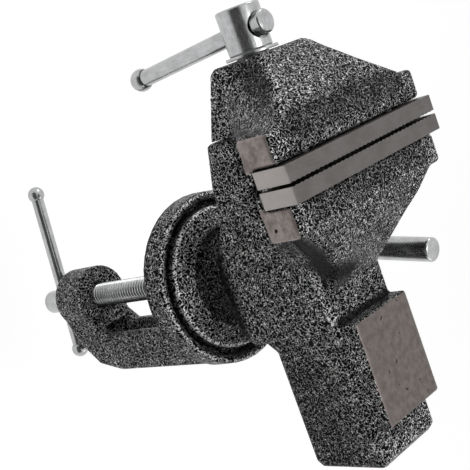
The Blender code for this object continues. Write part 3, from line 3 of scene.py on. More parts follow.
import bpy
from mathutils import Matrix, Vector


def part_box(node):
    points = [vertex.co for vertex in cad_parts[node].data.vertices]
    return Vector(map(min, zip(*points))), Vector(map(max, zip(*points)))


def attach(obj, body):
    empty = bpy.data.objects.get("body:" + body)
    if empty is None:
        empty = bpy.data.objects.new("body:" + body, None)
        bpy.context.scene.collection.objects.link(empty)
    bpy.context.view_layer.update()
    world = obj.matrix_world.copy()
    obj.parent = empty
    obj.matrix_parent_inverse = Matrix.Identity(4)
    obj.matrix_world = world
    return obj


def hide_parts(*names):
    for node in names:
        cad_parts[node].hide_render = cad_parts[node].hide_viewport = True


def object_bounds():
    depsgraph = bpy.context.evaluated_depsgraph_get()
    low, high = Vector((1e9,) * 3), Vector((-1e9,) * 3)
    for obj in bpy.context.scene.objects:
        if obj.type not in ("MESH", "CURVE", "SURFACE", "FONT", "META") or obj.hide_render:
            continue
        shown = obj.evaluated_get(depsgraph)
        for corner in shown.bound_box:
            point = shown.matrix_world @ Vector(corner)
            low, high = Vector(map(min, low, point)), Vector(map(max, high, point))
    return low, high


bl_info = {
    "name": "Mini Bench Vise",
    "version": (1, 0, 0),
    "blender": (4, 5, 0),
    "location": "3D View > Sidebar > Bench Vise",
    "description": "Builds the castings, jaw plates, screws and handles of a small clamp-on vise",
    "category": "Object",
}

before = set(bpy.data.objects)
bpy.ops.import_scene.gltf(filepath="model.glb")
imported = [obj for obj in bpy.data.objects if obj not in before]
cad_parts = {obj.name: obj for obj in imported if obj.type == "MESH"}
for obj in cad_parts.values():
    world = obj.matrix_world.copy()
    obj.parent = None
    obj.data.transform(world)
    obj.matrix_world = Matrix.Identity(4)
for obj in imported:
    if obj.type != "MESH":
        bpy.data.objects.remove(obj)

import math

import bmesh
import bpy
import numpy as np
from bpy.props import FloatProperty, FloatVectorProperty, IntProperty, PointerProperty
from mathutils import Matrix, Vector

MM = 0.001
CAD_BOX = [list(corner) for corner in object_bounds()]

# Axes of the turned pieces, in the part's frame
ALONG_Y = (0.0, 1.0, 0.0)
UPWARDS = (0.0, 0.0, 1.0)
SCREW_CENTRE = np.array((0.0, 0.0, 52.3)) * MM
HANDLE_CENTRE = np.array((0.0, -72.446, 52.3)) * MM
HANDLE_LEAN = math.radians(3.3)
HANDLE_AXIS = (0.0, -math.sin(HANDLE_LEAN), math.cos(HANDLE_LEAN))
CLAMP_CENTRE = np.zeros(3)
CLAMP_HANDLE_CENTRE = np.array((0.0, 0.0, -85.75)) * MM
CLAMP_HANDLE_TURN = math.radians(6.5)
CLAMP_HANDLE_AXIS = (math.sin(CLAMP_HANDLE_TURN), math.cos(CLAMP_HANDLE_TURN), 0.0)
CLAMP_BALL_LEVEL = -10.8
LOCK_LEVEL = 16.15 * MM
LOCK_LEAN = math.radians(9.2)
SHARP_ANGLE = 35.0


# Surfaces worked out on a grid
def link(name, data):
    """An object for a mesh, a lamp or a lens, in the scene."""
    piece = bpy.data.objects.new(name, data)
    bpy.context.scene.collection.objects.link(piece)
    return piece


def rework(mesh, change):
    work = bmesh.new()
    work.from_mesh(mesh)
    change(work)
    work.to_mesh(mesh)
    work.free()


def shell(name, rings, poles=None, looped=False, sharp=SHARP_ANGLE):
    """Skin over rings of points. Row i, column j joins row i+1 and column j+1, columns wrap round,
    rows wrap too when looped, and each pole closes one end with a fan."""
    rows, columns = rings.shape[:2]
    spots = rings.reshape(-1, 3)
    row = np.arange(rows if looped else rows - 1)[:, None]
    column = np.arange(columns)[None, :]
    after = (column + 1) % columns
    here, above = row * columns, (row + 1) % rows * columns
    corners = (here + column, here + after, above + after, above + column)
    faces = np.stack(np.broadcast_arrays(*corners), axis=-1).reshape(-1, 4).tolist()
    if poles is not None:
        first, last = len(spots), len(spots) + 1
        spots = np.concatenate([spots, np.asarray(poles)])
        ring = np.arange(columns)
        turn = (ring + 1) % columns
        top = (rows - 1) * columns
        faces += np.stack([np.full(columns, first), turn, ring], axis=-1).tolist()
        faces += np.stack([np.full(columns, last), top + ring, top + turn], axis=-1).tolist()
    mesh = bpy.data.meshes.new(name)
    mesh.from_pydata(spots.tolist(), [], faces)
    rework(mesh, lambda work: bmesh.ops.recalc_face_normals(work, faces=work.faces))
    mesh.shade_smooth()
    mesh.set_sharp_from_angle(angle=math.radians(sharp))
    return link(name, mesh)


def circle(count):
    return np.linspace(0.0, math.tau, count, endpoint=False)


def frame_of(axis):
    """Two directions square to the axis, so that side x up = axis."""
    axis = np.asarray(axis, float)
    axis = axis / np.linalg.norm(axis)
    mostly_x = 0.9
    guess = np.array((1.0, 0.0, 0.0)) if abs(axis[0]) < mostly_x else np.array((0.0, 1.0, 0.0))
    up = np.cross(axis, guess)
    up = up / np.linalg.norm(up)
    return np.cross(up, axis), up, axis


def round_rings(radius, distance, centre, axis):
    """Point (i, j) = centre + distance_i * axis + radius_ij * (side cos a_j + up sin a_j)."""
    side, up, along = frame_of(axis)
    angle = circle(radius.shape[1])
    spread = np.cos(angle)[:, None] * side + np.sin(angle)[:, None] * up
    return np.asarray(centre) + distance[:, None, None] * along + radius[:, :, None] * spread


def stepped(corners, others, radius):
    """Places at most radius, and at most 0.45 of the way, from corners towards their neighbours."""
    side_share = 0.45
    side = others - corners
    size = np.linalg.norm(side, axis=1, keepdims=True)
    return corners + side / size * np.minimum(radius, size * side_share)


def softened(profile, radius, steps=5):
    """Every inner corner of a line of points becomes a quadratic curve between its two sides."""
    points = np.asarray(profile, float)
    corner = points[1:-1]
    start, end = stepped(corner, points[:-2], radius), stepped(corner, points[2:], radius)
    share = np.linspace(0.0, 1.0, steps)[None, :, None]
    curve = (1 - share) ** 2 * start[:, None] + 2 * share * (1 - share) * corner[:, None]
    curve = curve + share**2 * end[:, None]
    return np.concatenate([points[:1], curve.reshape(-1, 2), points[-1:]])


def turned(name, profile, centre, axis, segments, softness=0.25, poles=True):
    """Profile of (radius, distance) pairs in millimetres, its corners softened, carried round an axis.
    With poles its first and last points lie on the axis. Without them it is a closed loop."""
    points = (softened(profile, softness) if softness else np.asarray(profile, float)) * MM
    line = points[1:-1] if poles else points
    rings = round_rings(np.repeat(line[:, :1], segments, axis=1), line[:, 1], centre, axis)
    if not poles:
        return shell(name, rings, looped=True)
    along = frame_of(axis)[2]
    return shell(name, rings, poles=[centre + points[k, 1] * along for k in (0, -1)])


def plain_bar(radius, low, high):
    """Profile of a round bar between two distances."""
    return [(0.0, low), (radius, low), (radius, high), (0.0, high)]


def ball_arc(radius, level, mouth, steps, way=1.0, reach=0.97):
    """Ball's profile (radius sin a, level - way radius cos a), from where it is mouth wide to near its
    far pole, which is the upper one when way is 1."""
    angle = np.linspace(math.asin(mouth / radius), math.pi * reach, steps)
    return np.stack([radius * np.sin(angle), level - way * radius * np.cos(angle)], axis=1)


def ball_line(radius, level, way, mouth):
    """Profile of a ball knob, open by mouth towards its bar, with a small collar in the opening."""
    collar, depth, lip = 0.3, 2.6, 0.25
    flat = math.sqrt(radius**2 - mouth**2)
    floor, brim = level - way * (flat - depth), level - way * (flat - lip)
    lead = [(0.0, floor), (mouth - collar, floor), (mouth - collar, brim)]
    arc = ball_arc(radius, level, mouth, 26, way, reach=0.985)
    return np.concatenate([lead, arc, [(0.0, level + way * radius)]])


def thread_rows(low, high, pitch, outer, depth, crest, root, fade, columns, per_turn=14):
    """Rows of a helical thread. At distance z and angle a the place in the turn is
    s = z / pitch - a / 2pi, and the radius is outer - depth * g(s), where g rises from 0 on the crest
    to 1 in the root. The groove fades in at both ends."""
    distance = np.arange(low, high, pitch / per_turn)
    angle = np.linspace(0.0, 1.0, columns, endpoint=False)
    place = (distance[:, None] / pitch - angle[None, :]) % 1.0
    flank = (1.0 - crest - root) / 2
    stations = [0.0, crest, crest + flank, crest + flank + root, 1.0]
    groove = np.interp(place, stations, [0.0, 0.0, 1.0, 1.0, 0.0])
    groove = groove * groove * (3.0 - 2.0 * groove)
    ramp = np.clip(np.minimum(distance - low, high - distance) / fade, 0.0, 1.0)
    return distance, outer - depth * groove * ramp[:, None]


def spindle(name, tail, thread, tip, end, centre, axis):
    """One skin of a thread's rows between turned (radius, distance) pairs, whose poles lie at the
    tail's first distance and at the end."""
    distance, radius = thread
    ones = np.ones((1, radius.shape[1]))
    radii = np.concatenate([tail[:, :1] * ones, radius, tip[:, :1] * ones])
    levels = np.concatenate([tail[:, 1], distance, tip[:, 1]])
    along = frame_of(axis)[2]
    poles = [centre + along * level * MM for level in (levels[0], end)]
    return shell(name, round_rings(radii * MM, levels * MM, centre, axis), poles=poles)


def swept(name, path, radii, side, segments):
    """Round rod along a flat path: ring i = path_i + r_i * (side cos a + normal_i sin a), where the
    normal is the path's direction turned a quarter about side."""
    way = np.gradient(path, axis=0)
    way = way / np.linalg.norm(way, axis=1, keepdims=True)
    normal = np.cross(way, side)
    angle = circle(segments)[None, :, None]
    rings = path[:, None] + radii[:, None, None] * (side * np.cos(angle) + normal[:, None] * np.sin(angle))
    return shell(name, rings, poles=[path[0], path[-1]])


def remade(piece, kind, **settings):
    """The piece's mesh becomes what one modifier makes of it."""
    change = piece.modifiers.new("Shape", kind)
    for name, value in settings.items():
        setattr(change, name, value)
    ready = piece.evaluated_get(bpy.context.evaluated_depsgraph_get())
    skin = bpy.data.meshes.new_from_object(ready)
    piece.modifiers.clear()
    piece.data = skin
    return skin


def carve(piece, cutters):
    """Takes the cutters' volumes out of the piece and removes the cutters."""
    for cutter in cutters:
        remade(piece, "BOOLEAN", operation="DIFFERENCE", solver="EXACT", object=cutter)
        mesh = cutter.data
        bpy.data.objects.remove(cutter)
        bpy.data.meshes.remove(mesh)
    piece.data.set_sharp_from_angle(angle=math.radians(SHARP_ANGLE))
    return piece


# Castings' skins
def seat_chin(spots):
    """The chin's back stays flat round the slide: a point under the saddle, outside the slide's
    section and less than 2 mm behind the chin comes back to the chin's plane."""
    slide_half, slide_floor, saddle = 9.36, 38.24, 45.75
    chin, behind = -45.0, -43.0
    x, y, z = spots.T / MM
    beside = (np.abs(x) > slide_half) | (z < slide_floor)
    rounded = beside & (y > chin) & (y < behind) & (z < saddle)
    spots[:, 1] = np.where(rounded, chin, y) * MM


def clear_lock_bore(spots):
    """The lock's bore stays open: a point nearer to its axis than the clearance moves out to it."""
    mouth, end, clearance, least = -15.0, -8.1, 3.3, 0.1
    x, y, z = spots.T / MM
    up = z - LOCK_LEVEL / MM
    reach = np.hypot(y, up)
    inside = (x > mouth) & (x < end) & (reach < clearance)
    grow = np.where(inside, clearance / np.maximum(reach, least), 1.0)
    spots[:, 1] = y * grow * MM
    spots[:, 2] = LOCK_LEVEL + up * grow * MM


def cast_skin(node, cell, passes, fit):
    """A casting's rounded skin. The solid is meshed again in small cells. Each pass pulls every point
    towards its neighbours' mean and then pushes it back a little further, which rounds the edges and
    keeps the volume. The fit then frees the places where another piece moves."""
    pull, push, merge = 0.5, -0.52, 1e-6
    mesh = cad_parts[node].data.copy()
    mesh.materials.clear()
    rework(mesh, lambda work: bmesh.ops.remove_doubles(work, verts=work.verts, dist=merge))
    piece = link(node + "_casting", mesh)
    skin = remade(piece, "REMESH", mode="VOXEL", voxel_size=cell)
    count = len(skin.vertices)
    spots = np.empty(count * 3)
    skin.vertices.foreach_get("co", spots)
    spots = spots.reshape(-1, 3)
    pairs = np.empty(len(skin.edges) * 2, np.int32)
    skin.edges.foreach_get("vertices", pairs)
    first, second = pairs.reshape(-1, 2).T
    both, other = np.concatenate([first, second]), np.concatenate([second, first])
    weight = np.bincount(both, minlength=count)[:, None]
    for amount in (pull, push) * passes:
        total = np.stack([np.bincount(both, spots[other, k], count) for k in range(3)], axis=1)
        spots = spots + amount * (total / weight - spots)
    if fit:
        fit(spots)
    skin.vertices.foreach_set("co", spots.ravel())
    skin.update()
    skin.shade_smooth()
    return piece


# Shader building
FLOAT, VECTOR, COLOUR = "NodeSocketFloat", "NodeSocketVector", "NodeSocketColor"
BLACK = (0.0, 0.0, 0.0, 1.0)
WHITE = (1.0, 1.0, 1.0, 1.0)
NUMBER_RESULTS = {"LENGTH", "DISTANCE", "DOT_PRODUCT"}


def opaque(colour, share=1.0):
    return (*(part * share for part in colour), 1.0)


def metres(spot):
    return [value * MM for value in spot]


def feed(tree, node, values):
    """Links outputs to a node's sockets by name or number, or gives the sockets their own values."""
    for name, value in values.items():
        if isinstance(value, bpy.types.NodeSocket):
            tree.links.new(value, node.inputs[name])
        else:
            node.inputs[name].default_value = value


def add(tree, kind, values=(), **settings):
    """A shader node with its settings, and with its sockets fed."""
    node = tree.nodes.new("ShaderNode" + kind)
    for name, value in settings.items():
        setattr(node, name, value)
    feed(tree, node, dict(values))
    return node


def math_node(tree, operation, first, second=0.0, clamp=False):
    return add(tree, "Math", {0: first, 1: second}, operation=operation, use_clamp=clamp).outputs[0]


def plus(tree, first, second):
    return math_node(tree, "ADD", first, second)


def minus(tree, first, second):
    return math_node(tree, "SUBTRACT", first, second)


def times(tree, first, second):
    return math_node(tree, "MULTIPLY", first, second)


def larger(tree, first, second):
    return math_node(tree, "MAXIMUM", first, second)


def vector_node(tree, operation, first, second=(0.0, 0.0, 0.0)):
    """Vector arithmetic. Lengths, distances and dot products are numbers."""
    node = add(tree, "VectorMath", {0: first, 1: second}, operation=operation)
    return node.outputs["Value" if operation in NUMBER_RESULTS else "Vector"]


def mix_colour(tree, share, first, second):
    """Sockets 6 and 7 of the Mix node are its colours."""
    return add(tree, "Mix", {0: share, 6: first, 7: second}, data_type="RGBA").outputs[2]


def mix_value(tree, share, first, second):
    """Sockets 2 and 3 of the Mix node are its numbers."""
    return add(tree, "Mix", {0: share, 2: first, 3: second}).outputs[0]


def passed(tree, value, low, high, start=0.0, end=1.0):
    """Goes smoothly from start to end while the value passes from low to high."""
    values = {"Value": value, "From Min": low, "From Max": high, "To Min": start, "To Max": end}
    return add(tree, "MapRange", values, interpolation_type="SMOOTHSTEP").outputs[0]


def noise(tree, place, scale, detail, roughness=0.5, distortion=0.0):
    values = {"Vector": place, "Scale": scale, "Detail": detail}
    values |= {"Roughness": roughness, "Distortion": distortion}
    return add(tree, "TexNoise", values).outputs[0]


def blend(tree, first, second, share):
    """first * share + second * (1 - share)"""
    rest = times(tree, second, 1.0 - share)
    return plus(tree, times(tree, first, share), rest)


def new_group(name, inputs, outputs):
    group = bpy.data.node_groups.new(name, "ShaderNodeTree")
    for way, sockets in (("INPUT", inputs), ("OUTPUT", outputs)):
        for label, kind in sockets.items():
            group.interface.new_socket(name=label, in_out=way, socket_type=kind)
    given = group.nodes.new("NodeGroupInput").outputs[: len(inputs)]
    return group, given, group.nodes.new("NodeGroupOutput")


GROUPS = {}


def place_group(tree, maker, values):
    """Places a maker's node group, which is built once."""
    if maker.__name__ not in GROUPS:
        GROUPS[maker.__name__] = maker()
    return add(tree, "Group", values, node_tree=GROUPS[maker.__name__]).outputs


def hammered_veins():
    """Silver veins round dark cells. A vein stands where noise is near its middle value, its width
    drifts slowly over the surface, and the cells sink the further the noise is from its middle."""
    inputs = {"Vector": VECTOR, "Grain": FLOAT, "Width": FLOAT, "Edge": FLOAT}
    group, given, made = new_group("Hammered veins", inputs, {"Veins": FLOAT, "Height": FLOAT})
    vector, grain, width, edge = given
    middle, drift_scale, drift_range, least_width, sink = 0.5, 0.15, 0.8, 0.6, 3.0
    fine = noise(group, vector, grain, 1.0, distortion=0.5)
    drift = noise(group, vector, times(group, grain, drift_scale), 2.0)
    away = math_node(group, "ABSOLUTE", minus(group, fine, middle))
    drift = plus(group, times(group, drift, drift_range), least_width)
    width = times(group, width, drift)
    veins = passed(group, away, minus(group, width, edge), plus(group, width, edge), 1.0, 0.0)
    feed(group, made, {"Veins": veins, "Height": minus(group, veins, times(group, away, sink))})
    return group


def cut_lines():
    """Fine parallel scratches: noise on coordinates that are stretched along the lay of the tool."""
    inputs = {"Vector": VECTOR, "Stretch": VECTOR, "Drift": FLOAT}
    group, given, made = new_group("Cut lines", inputs, {"Lines": FLOAT, "Stain": FLOAT})
    vector, stretch, drift = given
    lines = noise(group, vector_node(group, "MULTIPLY", vector, stretch), 1.0, 3.0, 0.7)
    feed(group, made, {"Lines": lines, "Stain": noise(group, vector, drift, 4.0, 0.6)})
    return group


def window():
    """1 inside a box from Low to High and 0 outside, with a soft border. The rim falls from 1 on that
    border to 0 half a millimetre further in."""
    inputs = {"Vector": VECTOR, "Low": VECTOR, "High": VECTOR, "Border": FLOAT}
    group, (vector, low, high, border), made = new_group("Window", inputs, {"Inside": FLOAT, "Rim": FLOAT})
    rim_width = 0.5 * MM
    from_low, to_high = (vector_node(group, "SUBTRACT", *pair) for pair in ((vector, low), (high, vector)))
    least = vector_node(group, "MINIMUM", from_low, to_high)
    x, y, z = add(group, "SeparateXYZ", {0: least}).outputs
    least = math_node(group, "MINIMUM", x, math_node(group, "MINIMUM", y, z))
    inside, depth = (math_node(group, "DIVIDE", least, wide, clamp=True) for wide in (border, rim_width))
    feed(group, made, {"Inside": inside, "Rim": minus(group, 1.0, depth)})
    return group


def light_and_shade_line():
    """Reach of a line of painted light and shade: 1 on the line from Start to End, falling smoothly to 0 at
    Radius from it. The nearest place on the line is start + t (end - start), with t held between 0 and 1."""
    inputs = {"Vector": VECTOR, "Start": VECTOR, "End": VECTOR, "Radius": FLOAT}
    group, (vector, start, end, radius), made = new_group("Light and shade line", inputs, {"Share": FLOAT})
    core = 0.35
    line, away = (vector_node(group, "SUBTRACT", spot, start) for spot in (end, vector))
    reach, whole = (vector_node(group, "DOT_PRODUCT", first, line) for first in (away, line))
    share = math_node(group, "DIVIDE", reach, whole, clamp=True)
    nearest = add(group, "VectorMath", {0: line, "Scale": share}, operation="SCALE").outputs[0]
    gap = math_node(group, "DIVIDE", vector_node(group, "DISTANCE", away, nearest), radius)
    feed(group, made, {"Share": passed(group, gap, core, 1.0, 1.0, 0.0)})
    return group


def milled_iron():
    """Bare iron under a cutter: cloudy tones, fine lines along the cut, and a few dark pores where
    noise passes a high level."""
    inputs = {"Vector": VECTOR, "Dark": COLOUR, "Light": COLOUR, "Drift": FLOAT}
    group, given, made = new_group("Milled iron", inputs, {"Color": COLOUR, "Lines": FLOAT})
    vector, dark, light, drift = given
    lay, stain_share, cloud_range = (900.0, 3800.0, 900.0), 0.7, (0.3, 0.7)
    pore_scale, pore_range, pore_colour = 430.0, (0.8, 0.815), (0.012, 0.01, 0.01, 1.0)
    cuts = place_group(group, cut_lines, {"Vector": vector, "Stretch": lay, "Drift": drift})
    cloud = passed(group, blend(group, cuts["Stain"], cuts["Lines"], stain_share), *cloud_range)
    tone = mix_colour(group, cloud, dark, light)
    pore = passed(group, noise(group, vector, pore_scale, 0.0), *pore_range)
    colour = mix_colour(group, pore, tone, pore_colour)
    feed(group, made, {"Color": colour, "Lines": minus(group, cuts["Lines"], pore)})
    return group


# Finishes
WINDOW_BORDER = 0.12 * MM
IRON_DRIFT = 420.0
IRON_METAL = 0.85
IRON_RIM = 0.45
IRON_RIM_LIGHT = 1.5
BARE_ROUGH = 0.36
VEIN_ROUGH = 0.42


def empty_tree(block):
    """The cleared node tree of a material or a world."""
    block.use_nodes = True
    block.node_tree.nodes.clear()
    return block.node_tree


def new_material(name, constants):
    """A material with its Principled shader, whose even values stand on the shader's own sockets."""
    material = bpy.data.materials.new(name)
    tree = empty_tree(material)
    shader = add(tree, "BsdfPrincipled", constants)
    add(tree, "OutputMaterial", {"Surface": shader.outputs[0]})
    return material, tree, shader, add(tree, "TexCoord").outputs["Object"]


def changed(tree, value, share, change):
    """value * (1 + share * change)"""
    factor = plus(tree, 1.0, times(tree, share, change))
    return times(tree, factor, value)


def paint_light_and_shade(tree, place, width, painted_light_lines, rings):
    """The veins' width and the silver's tone under painted light and shade. A line is (start, end, radius,
    change) in millimetres. Along that line the veins' width is multiplied by 1 + change / 2, and where the
    change is below 0 the silver by 1 + change too: painted shade in hollows, under overhangs and on faces
    that the lamps light less. Where the change is above 0 the wider veins are a painted highlight on crests
    and edges. A ring is such a line in (distance from the swivel's axis, 0, height)."""
    height = add(tree, "SeparateXYZ", {0: place}).outputs[2]
    distance = vector_node(tree, "LENGTH", vector_node(tree, "MULTIPLY", place, (1.0, 1.0, 0.0)))
    round_place = add(tree, "CombineXYZ", {0: distance, 2: height}).outputs[0]
    tone = 1.0
    for number, (start, end, radius, change) in enumerate((*painted_light_lines, *rings)):
        values = {"Vector": place if number < len(painted_light_lines) else round_place}
        values |= {"Start": metres(start), "End": metres(end), "Radius": radius * MM}
        share = place_group(tree, light_and_shade_line, values)["Share"]
        # Painted light: the veins widen for a painted highlight and narrow for painted shade, and under
        # painted shade the silver darkens.
        width = changed(tree, width, share, change / 2)
        if change < 0:
            tone = changed(tree, tone, share, change)
    return width, tone


def mill_windows(tree, place, settings, windows):
    """Mask, colour and cut lines of the iron inside the windows. A window is (low, high, folded, shade)
    in millimetres. Folded ones are tried on coordinates without signs, so that one serves both sides.
    The shade darkens the iron: painted shade on the anvil pad's upward top. The iron is lighter in a rim
    half a millimetre wide inside each window's border."""
    folded = vector_node(tree, "ABSOLUTE", place)
    tones = {"Dark": opaque(settings.iron_dark), "Light": opaque(settings.iron_light), "Drift": IRON_DRIFT}
    cuts = place_group(tree, milled_iron, {"Vector": place, **tones})
    mask, tone, rim = 0.0, 0.0, 0.0
    for low, high, fold, shade in windows:
        values = {"Vector": folded if fold else place, "Low": metres(low), "High": metres(high)}
        cut = place_group(tree, window, {**values, "Border": WINDOW_BORDER})
        inside = cut["Inside"]
        mask = larger(tree, inside, mask)
        tone = larger(tree, times(tree, inside, shade), tone)
        rim = larger(tree, times(tree, inside, cut["Rim"]), rim)
    rim = times(tree, rim, IRON_RIM)
    iron = mix_colour(tree, rim, cuts["Color"], opaque(settings.iron_light, IRON_RIM_LIGHT))
    return mask, mix_colour(tree, tone, BLACK, iron), cuts["Lines"]


def hammertone(name, settings, windows, painted_light_lines, rings):
    """Hammered paint with painted shade in hollows and painted highlights on crests, cut away to milled iron
    in the windows.
    """
    material, tree, shader, place = new_material(name, {"Specular IOR Level": 0.06})
    # Painted light and shade along the given lines and rings; the tone is the painted shade on the silver.
    width, tone = paint_light_and_shade(tree, place, settings.vein, painted_light_lines, rings)
    grain = {"Grain": 1.0 / settings.grain, "Width": width, "Edge": settings.edge}
    veins = place_group(tree, hammered_veins, {"Vector": place, **grain})
    silver = mix_colour(tree, tone, opaque(settings.dark), opaque(settings.silver))
    colour = mix_colour(tree, veins["Veins"], opaque(settings.dark), silver)
    metal = times(tree, veins["Veins"], settings.flake)
    rough = mix_value(tree, veins["Veins"], BARE_ROUGH, VEIN_ROUGH)
    height = times(tree, veins["Height"], settings.relief)
    if windows:
        line_rough, line_height = 0.2, 0.012
        mask, iron, lines = mill_windows(tree, place, settings, windows)
        iron_rough = plus(tree, BARE_ROUGH, times(tree, lines, line_rough))
        colour = mix_colour(tree, mask, colour, iron)
        metal = mix_value(tree, mask, metal, IRON_METAL)
        rough = mix_value(tree, mask, rough, iron_rough)
        height = mix_value(tree, mask, height, times(tree, lines, line_height))
    bump = add(tree, "Bump", {"Strength": 0.8, "Distance": 1.0 * MM, "Height": height}).outputs[0]
    feed(tree, shader, {"Base Color": colour, "Metallic": metal, "Roughness": rough, "Normal": bump})
    return material


def machined(name, dark, light, roughness, stretch, drift, groove, ends=None, end_and_highlight_colour=None):
    """Bare or plated steel with fine cut lines and a faint stain. Inside the ends window it takes the
    lighter end colour, which on the jaw plates is partly their ground finish and partly a painted highlight
    on the lit ends.
    """
    if name in bpy.data.materials:
        return bpy.data.materials[name]
    line_rough, line_share, tone_range, end_shade = 0.16, 0.5, (0.36, 0.64), 0.85
    material, tree, shader, place = new_material(name, {"Metallic": 1.0})
    cuts = place_group(tree, cut_lines, {"Vector": place, "Stretch": stretch, "Drift": drift})
    spread = passed(tree, blend(tree, cuts["Lines"], cuts["Stain"], line_share), *tone_range)
    colour = mix_colour(tree, spread, opaque(dark), opaque(light))
    if ends:
        values = {"Vector": vector_node(tree, "ABSOLUTE", place), "Low": ends[0], "High": ends[1]}
        inside = place_group(tree, window, {**values, "Border": 0.1 * MM})["Inside"]
        ground = mix_colour(tree, spread, opaque(end_and_highlight_colour, end_shade), opaque(end_and_highlight_colour))
        colour = mix_colour(tree, inside, colour, ground)
    rough = plus(tree, roughness, times(tree, cuts["Lines"], line_rough))
    bump = add(tree, "Bump", {"Strength": 0.6, "Distance": groove, "Height": cuts["Lines"]})
    feed(tree, shader, {"Base Color": colour, "Roughness": rough, "Normal": bump.outputs[0]})
    return material


PLATINGS = {
    "Turned plating": (2600.0, 420.0, 2600.0),
    "Drawn plating": (2600.0, 2600.0, 140.0),
    "Rolled plating": (900.0, 900.0, 2600.0),
    "Bright bar plating": (1700.0, 160.0, 1700.0),
}


def blackened_steel():
    look = (0.34, (3000.0, 3000.0, 3000.0), 500.0, 0.01 * MM)
    return machined("Blackened screw", (0.02, 0.02, 0.022), (0.06, 0.06, 0.062), *look)


def plain_steel():
    look = (0.3, (2500.0, 300.0, 2500.0), 300.0, 0.01 * MM)
    return machined("Plain machined steel", (0.16, 0.15, 0.14), (0.3, 0.29, 0.28), *look)


def cover(piece, material):
    piece.data.materials.clear()
    piece.data.materials.append(material)


def finish_piece(piece, body, material, slot_name, *nodes):
    """Gives a piece its material, hangs it on its body's empty and hides the nodes that it stands for."""
    cover(piece, material)
    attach(piece, body)
    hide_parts(*nodes)


def finish_plated(piece, body, node, plating="Turned plating"):
    """Zinc plating, whose cut lines follow the lay of its tool."""
    steel = bpy.context.scene.vise_steel
    look = (steel.plating_rough, PLATINGS[plating], 260.0, 0.006 * MM)
    material = machined(plating, steel.plating_dark, steel.plating_light, *look)
    finish_piece(piece, body, material, "plated_steel", node)


# What a user would change
def length(name, description, default):
    kind = {"subtype": "DISTANCE", "unit": "LENGTH"}
    return FloatProperty(name=name, description=description, default=default * MM, **kind)


def fraction(name, description, default, most=1.0):
    return FloatProperty(name=name, description=description, default=default, min=0.0, max=most)


def power(name, description, default):
    kind = {"subtype": "POWER", "unit": "POWER"}
    return FloatProperty(name=name, description=description, default=default, **kind)


def colour(name, description, default):
    return FloatVectorProperty(name=name, description=description, default=default, subtype="COLOR")


class CastingSettings(bpy.types.PropertyGroup):
    cell: length("Cell", "Size of the cells that round the castings' edges", 0.6)
    passes: IntProperty(
        name="Smoothing", description="Rounds of smoothing on the castings' skin", default=3, min=0, max=40
    )
    grain: length("Grain", "Distance from one dark cell of the paint to the next but one", 0.96)
    vein: fraction("Vein width", "How far from its middle value the noise still gives silver", 0.022, 0.5)
    edge: fraction("Vein edge", "Softness of the veins' edges", 0.006, 0.3)
    relief: fraction("Relief", "Height of the veins over the dark paint, in millimetres", 0.05)
    flake: fraction("Flake", "How metallic the silver veins are", 0.35)
    dark: colour("Dark paint", "Colour between the veins", (0.0012, 0.0012, 0.0013))
    silver: colour("Silver veins", "Colour of the veins", (0.98, 0.98, 0.985))
    iron_dark: colour("Milled iron, dark", "Darker tone of the milled iron", (0.148, 0.126, 0.117))
    iron_light: colour("Milled iron, light", "Lighter tone of the milled iron", (0.33, 0.288, 0.273))


class SteelSettings(bpy.types.PropertyGroup):
    plate_dark: colour("Plate, dark", "Darker tone of the jaw plates", (0.115, 0.107, 0.103))
    plate_light: colour("Plate, light", "Lighter tone of the jaw plates", (0.15, 0.141, 0.137))
    # The plates' end colour is partly their ground finish and partly a painted highlight on the end faces
    # that face the lamps.
    plate_end_and_highlight: colour("Plate ends", "Colour of the ground ends of the plates", (0.36, 0.334, 0.32))
    plating_dark: colour("Plating, dark", "Darker tone of the zinc plating", (0.36, 0.363, 0.366))
    plating_light: colour("Plating, light", "Lighter tone of the zinc plating", (0.5, 0.505, 0.51))
    plating_rough: fraction("Plating roughness", "Roughness of the plated pieces", 0.16)
    segments: IntProperty(
        name="Segments", description="Faces round a turned piece", default=72, min=16, max=256
    )


class StudioSettings(bpy.types.PropertyGroup):
    drop: length("Floor drop", "Room under the vise for the clamp screw's way down", 46.0)
    floor: colour("Floor", "Colour of the floor", (0.3, 0.3, 0.3))
    glow: fraction("Floor glow", "Light that the camera and the steel see on the floor", 0.9)
    top: power("Top lamp", "Power of the lamp over the vise", 1.25)
    side: power("Side lamp", "Power of the lamp on the camera's side", 1.25)
    front: power("Front lamp", "Power of the lamp beyond the screw's head", 0.85)
    back: power("Back lamp", "Power of the lamp behind the anvil", 0.3)
    sky: fraction("Sky", "Strength of the even light from all round", 0.04)
    screen: fraction("Dark screen", "How light the steel sees the screen on the camera's side", 0.1)
    lens: FloatProperty(
        name="Lens", description="Focal length on a 36 mm sensor", default=81.04, subtype="DISTANCE_CAMERA"
    )


# Castings
def both_sides(start, end, radius, change):
    """A line of painted light and shade and its mirror image across the vise's middle."""
    return (start, end, radius, change), ((-start[0], *start[1:]), (-end[0], *end[1:]), radius, change)


FAR = 1000.0
FIXED_PATCH = ((34.1, 15.0, 67.0), (FAR, 26.0, 78.6), True, 1.0)
MOVING_PATCH = ((34.1, 36.0, 67.0), (FAR, 46.0, 78.6), True, 1.0)
# The anvil pad's window has a shade of 0.53: painted shade, which keeps the pad's upward top darker than the
# milled side patches.
PAD_PATCH = ((-14.0, 16.2, 66.74), (14.0, 50.2, 67.6), False, 0.53)
